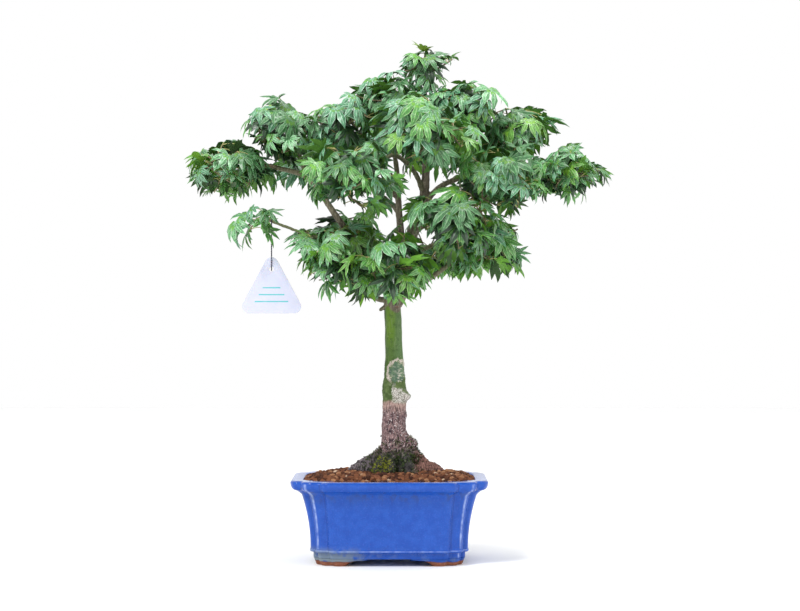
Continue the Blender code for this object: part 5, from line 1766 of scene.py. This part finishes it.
def grow_leaf(rng, crown, holds, place, heading):
    """One leaf inside what holds it, tried a few times with other sizes and turns; None if it never fits."""
    for attempt in range(TRIES):
        size = 1.0 - TRY_SHRINK * attempt / TRIES
        spread = TRY_SPREAD[0] + TRY_SPREAD[1] * attempt / TRIES
        high = max(0.0, min(1.0, (place.z - HIGH_LEAVES[0]) / (HIGH_LEAVES[1] - HIGH_LEAVES[0])))
        pitch = rng.uniform(*PETIOLE_PITCH) + high * HIGH_LIFT
        guard = leaf_guard(
            place,
            heading + rng.uniform(-spread, spread),
            pitch,
            min(rng.uniform(*BLADE_FALL) - high * HIGH_LIFT, SHARPEST_BEND - pitch),
            rng.uniform(-BLADE_ROLL, BLADE_ROLL),
            rng.uniform(*LEAF_LENGTH) * size,
            rng.uniform(*PETIOLE_LENGTH) * size,
        )
        if not all(has_room(v, LEAF_ROOM) and holds(v) for v in guard["verts"]):
            continue
        if any(shows_sky(v) for v in guard["verts"]):
            continue
        tree = crown.clear(guard["verts"], guard["faces"])
        if tree:
            crown.stand(tree, guard["verts"])
            return guard
    return None


def deal_shade(rng, place):
    """A spray's shade of green by height: bluer and deeper on top of the crown, with a painted sheen, and
    fresher low down, with a painted glow of light through the leaves.
    """
    low, span = SHADE_HEIGHTS
    top = max(0.0, min(1.0, (place.z - low) / span))
    weights = [weight * (factor + gain * top) for *_, weight, factor, gain in SHADES.values()]
    return rng.choices(list(SHADES), weights)[0]


def grow_mass(name, index, lines, crown, twig_lines, petiole_lines, leaves):
    """One mass: a stem on from its limb's tip, twigs on it, and leaves in pairs along each twig."""
    limb, centre, _, plain = MASSES[name]
    wanted = round(plain * THIN_SPRAYS.get(name, LEAF_PLENTY))
    rng = random.Random(SEED + index)
    tip, tip_radius, along = lines[limb].at(1.0)
    centre = Vector(centre)
    reach = (centre - tip).length
    straight_on = tip + along * reach * STEM_INSIDE
    bend = straight_on.lerp(tip.lerp(centre, STEM_INSIDE), STEM_TURN)
    stem_points = (tip - along * 2.5, tip, bend, tip.lerp(centre, STEM_END))
    stem_path = smooth_path(stem_points, 5)
    taper = ((0, tip_radius * 0.96), (0.3, tip_radius * 0.9), (0.6, STEM_RADIUS[0]), (1, STEM_RADIUS[1]))
    radii = [ramp(taper, k / (len(stem_path) - 1)) for k in range(len(stem_path))]
    twig_lines.append(list(zip(stem_path, radii)))
    verts, faces = twig_guard(bend, stem_points[3], *STEM_RADIUS)
    stem_tree = BVHTree.FromPolygons(verts, faces)
    crown.stand(stem_tree, verts)
    twigs = grow_twigs(rng, crown, name, stem_tree, (bend, stem_points[3]), round(wanted / LEAVES_A_TWIG) + 1)
    for twig in twigs[1:]:
        thick, thin = twig["radii"]
        twig_lines.append([(on_twig(twig, k / 6), thick + (thin - thick) * k / 6) for k in range(7)])
    for twig in twigs:
        twig["shade"] = deal_shade(rng, twig["end"])

    def holds(point):
        return crown.owns(name, point, ragged_limit(point))

    grown_count = 0
    for turn in range(LEAF_TURNS):
        for twig in reversed(twigs):
            if grown_count >= wanted:
                break
            ahead = twig["end"] - twig["start"]
            pair, hand = divmod(turn, 2)
            share = FIRST_PAIR - PAIR_STEP * pair + rng.uniform(*PAIR_SLIP)
            turned = PAIR_TURN[0] + PAIR_TURN[1] * pair
            heading = math.atan2(ahead.y, ahead.x) + (-1 if hand else 1) * turned
            guard = grow_leaf(rng, crown, holds, on_twig(twig, share), heading)
            if guard:
                inner = crown.nearness(name, guard["middle"]) < INNER_SHARE
                own = deal_shade(rng, guard["middle"]) if rng.random() < OWN_SHADE else twig["shade"]
                guard["shade"] = "dark" if inner and rng.random() < INNER_DARK else own
                guard["form"] = rng.randrange(LEAF_FORMS)
                leaves.append(guard)
                grown_count += 1
                petiole_lines.append(petiole_line(guard))
    return grown_count


def grow_leader_leaves(line, crown, petiole_lines, leaves):
    """Leaves straight on the leader, where it would stand bare between the masses at the top."""
    rng = random.Random(SEED + len(MASSES))

    def holds(point):
        return min(crown.nearness(name, point) for name in LEADER_MASSES) < LEADER_REACH

    low, high, count = LEADER_LEAVES
    places = [line.at(k / 100)[0] for k in range(101)]
    top = Vector(MASSES[LEADER_MASSES[0]][1])
    places += [places[-1].lerp(top, k / 20) for k in range(1, 20)]
    for k in range(count):
        height = low + (high - low) * k / (count - 1)
        place = min(places, key=lambda point: abs(point.z - height))
        guard = grow_leaf(rng, crown, holds, place, rng.uniform(-math.pi, math.pi))
        if guard:
            guard["shade"] = deal_shade(rng, guard["middle"])
            guard["form"] = rng.randrange(LEAF_FORMS)
            leaves.append(guard)
            petiole_lines.append(petiole_line(guard))


def petiole_line(guard):
    """A leaf's stalk, arched a little, from the twig to the middle of the blade."""
    root, end = guard["root"], guard["middle"]
    arch = Vector((0, 0, guard["petiole"] * PETIOLE_ARCH))
    line = []
    for k in range(5):
        share = k / 4
        place = root.lerp(end, share) + arch * 4 * share * (1 - share)
        thickness = PETIOLE_TAPER[0] + PETIOLE_TAPER[1] * share + PETIOLE_TAPER[2] * share * share
        line.append((place, PETIOLE_RADIUS * thickness))
    return line


def make_crown(lines):
    """Twigs, leaf stalks and leaves, each kind joined into pieces of its own."""
    crown = Crown()
    for name, line in lines.items():
        for k in range(len(line.path) - 1):
            verts, faces = twig_guard(line.path[k], line.path[k + 1], line.radii[k], line.radii[k + 1])
            crown.add(BVHTree.FromPolygons(verts, faces), verts)
    tag_low, tag_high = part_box("tag")
    box = bmesh.new()
    bmesh.ops.create_cube(box, size=1.0)
    low = (Vector(tag_low) - POT_CENTRE) / MM
    high = (Vector(tag_high) - POT_CENTRE) / MM
    verts = [Vector([(low[k] + high[k]) / 2 + v.co[k] * (high[k] - low[k]) for k in range(3)])
             for v in box.verts]
    crown.add(BVHTree.FromPolygons(verts, [[v.index for v in f.verts] for f in box.faces]), verts)
    box.free()
    crown.seal()
    twig_lines, petiole_lines, leaves = [], [], []
    for index, name in enumerate(MASSES):
        grow_mass(name, index, lines, crown, twig_lines, petiole_lines, leaves)
    grow_leader_leaves(lines["leader"], crown, petiole_lines, leaves)
    for spot in YOUNG_SPOTS:
        nearest = min(leaves, key=lambda leaf: (leaf["middle"] - Vector(spot)).length)
        nearest["shade"] = "young"
        nearest["size"] *= YOUNG_SIZE
    tubes = tube_tree()
    twig_skin = twig_finish("twig_skin", (0.1, 0.075, 0.04), (0.23, 0.2, 0.11))
    stalk_skin = twig_finish("stalk_skin", (0.24, 0.26, 0.07), (0.42, 0.38, 0.16))
    twigs = tubes_mesh("twigs", twig_lines, TWIG_SIDES, twig_skin, tubes)
    stalks = tubes_mesh("leaf_stalks", petiole_lines, PETIOLE_SIDES, stalk_skin, tubes)
    seat(add_piece("twigs", twigs, angle=60), "bark", *MASSES)
    seat(add_piece("leaf_stalks", stalks, angle=60), "leaves", *MASSES)
    forms = leaf_forms()
    scatter = scatter_tree()
    for shade in SHADES:
        chosen = [leaf for leaf in leaves if leaf["shade"] == shade]
        mesh = scattered(f"leaves_{shade}", chosen, forms, leaf_finishes(shade), scatter)
        seat(add_piece(f"sprays_{shade}", mesh, smooth=False), "leaves", *MASSES)
    drop_forms(forms)


# ================================================================ tag
def rounded_triangle():
    """The tag's outline, apex up, as a list of (x, z): an arc at each corner and straight sides between."""
    reach = TAG_WIDTH / 2 - TAG_CORNER
    base = TAG_TOP - TAG_HEIGHT + TAG_CORNER
    middles = (Vector((0, TAG_TOP - TAG_CORNER)), Vector((-reach, base)), Vector((reach, base)))
    outline = []
    for k, middle in enumerate(middles):
        before = middle - middles[k - 1]
        after = middles[(k + 1) % 3] - middle
        first = math.atan2(-before.x, before.y)
        bend = (math.atan2(-after.x, after.y) - first) % (2 * math.pi)
        for step in range(TAG_CORNER_STEPS + 1):
            angle = first + bend * step / TAG_CORNER_STEPS
            outline.append(middle + Vector((math.cos(angle), math.sin(angle))) * TAG_CORNER)
    return outline


def make_tag(tag_y):
    curve = bpy.data.curves.new("tag_plate", "CURVE")
    curve.dimensions = "2D"
    curve.fill_mode = "BOTH"
    curve.extrude = (TAG_THICKNESS / 2 - TAG_BEVEL) * MM
    curve.bevel_depth = TAG_BEVEL * MM
    curve.bevel_resolution = 2
    curve.offset = -TAG_BEVEL * MM
    hole = [(TAG_HOLE_RADIUS * math.cos(a), TAG_TOP - TAG_HOLE_DROP + TAG_HOLE_RADIUS * math.sin(a))
            for a in [2 * math.pi * k / TAG_HOLE_STEPS for k in range(TAG_HOLE_STEPS)]]
    for outline in (rounded_triangle(), hole):
        spline = curve.splines.new("POLY")
        spline.points.add(len(outline) - 1)
        for spot, (x, z) in zip(spline.points, outline):
            spot.co = (x * MM, z * MM, 0, 1)
        spline.use_cyclic_u = True
    holder = new_object("tag_plate", curve)
    mesh = face_outwards(plain_mesh(holder, "tag_plate"), weld=True)
    remove(holder)
    place = Matrix.Translation(POT_CENTRE + Vector((TAG_X, tag_y, 0)) * MM)
    mesh.transform(place @ Matrix.Rotation(math.pi / 2, 4, "X"))
    seat(add_piece("tag_plate", mesh, tag_finish(), angle=30), "tag", "tag")


def make_string(lines, tag_y):
    """The tag's tie: two thin strands twisted round each other, over the twig and through the hole."""
    twig = lines["bough_tag"]
    share = min((k / 100 for k in range(101)), key=lambda s: abs(twig.at(s)[0].x - TAG_X))
    over, twig_radius, _ = twig.at(share)
    upper = twig_radius + STRING_SLACK + STRING_RADIUS
    lower = TAG_THICKNESS / 2 + STRING_SLACK + STRING_RADIUS
    hole = TAG_TOP - TAG_HOLE_DROP
    points = []
    for start, y, z, wide, tall in ((0, over.y, over.z, upper, upper),
                                    (math.pi, tag_y, hole, lower, lower * 0.9)):
        for k in range(STRING_POINTS + 1):
            turn = start + math.pi * k / STRING_POINTS
            points.append(Vector((TAG_X, y + wide * math.cos(turn), z + tall * math.sin(turn))))
    loop = Limb([*points, points[0]], [STRING_RADIUS] * (len(points) + 1))
    side = Vector((1, 0, 0))
    verts, faces = [], []
    for strand in (0, 1):
        first = len(verts)
        for k in range(STRAND_STEPS):
            place, _, along = loop.at(k / STRAND_STEPS)
            other = along.cross(side).normalized()
            phase = 2 * math.pi * STRAND_TURNS * k / STRAND_STEPS + math.pi * strand
            centre = place + (side * math.cos(phase) + other * math.sin(phase)) * STRING_RADIUS * 0.5
            for s in range(STRAND_SIDES):
                angle = 2 * math.pi * s / STRAND_SIDES
                around = side * math.cos(angle) + other * math.sin(angle)
                verts.append(centre + around * STRING_RADIUS * 0.52)
        for k in range(STRAND_STEPS):
            on = ((k + 1) % STRAND_STEPS - k) * STRAND_SIDES
            for s in range(STRAND_SIDES):
                here = first + k * STRAND_SIDES + s
                after = first + k * STRAND_SIDES + (s + 1) % STRAND_SIDES
                faces.append((here, after, after + on, here + on))
    seat(add_piece("tag_tie", mesh_from("tag_tie", verts, faces), thread_finish()), "string", "tag_string")


# ================================================================ everything
make_camera()
make_studio()
make_pot()
make_feet()
strewing = strewing_tree()
make_grains(make_soil_bed(), strewing)
limbs = limb_lines(trunk_line())
make_moss(make_bark(limbs), strewing)
make_crown(limbs)
tag_depth = ((Vector(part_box("tag")[0]) + Vector(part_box("tag")[1])) / 2 - POT_CENTRE).y / MM
make_tag(tag_depth)
make_string(limbs, tag_depth)
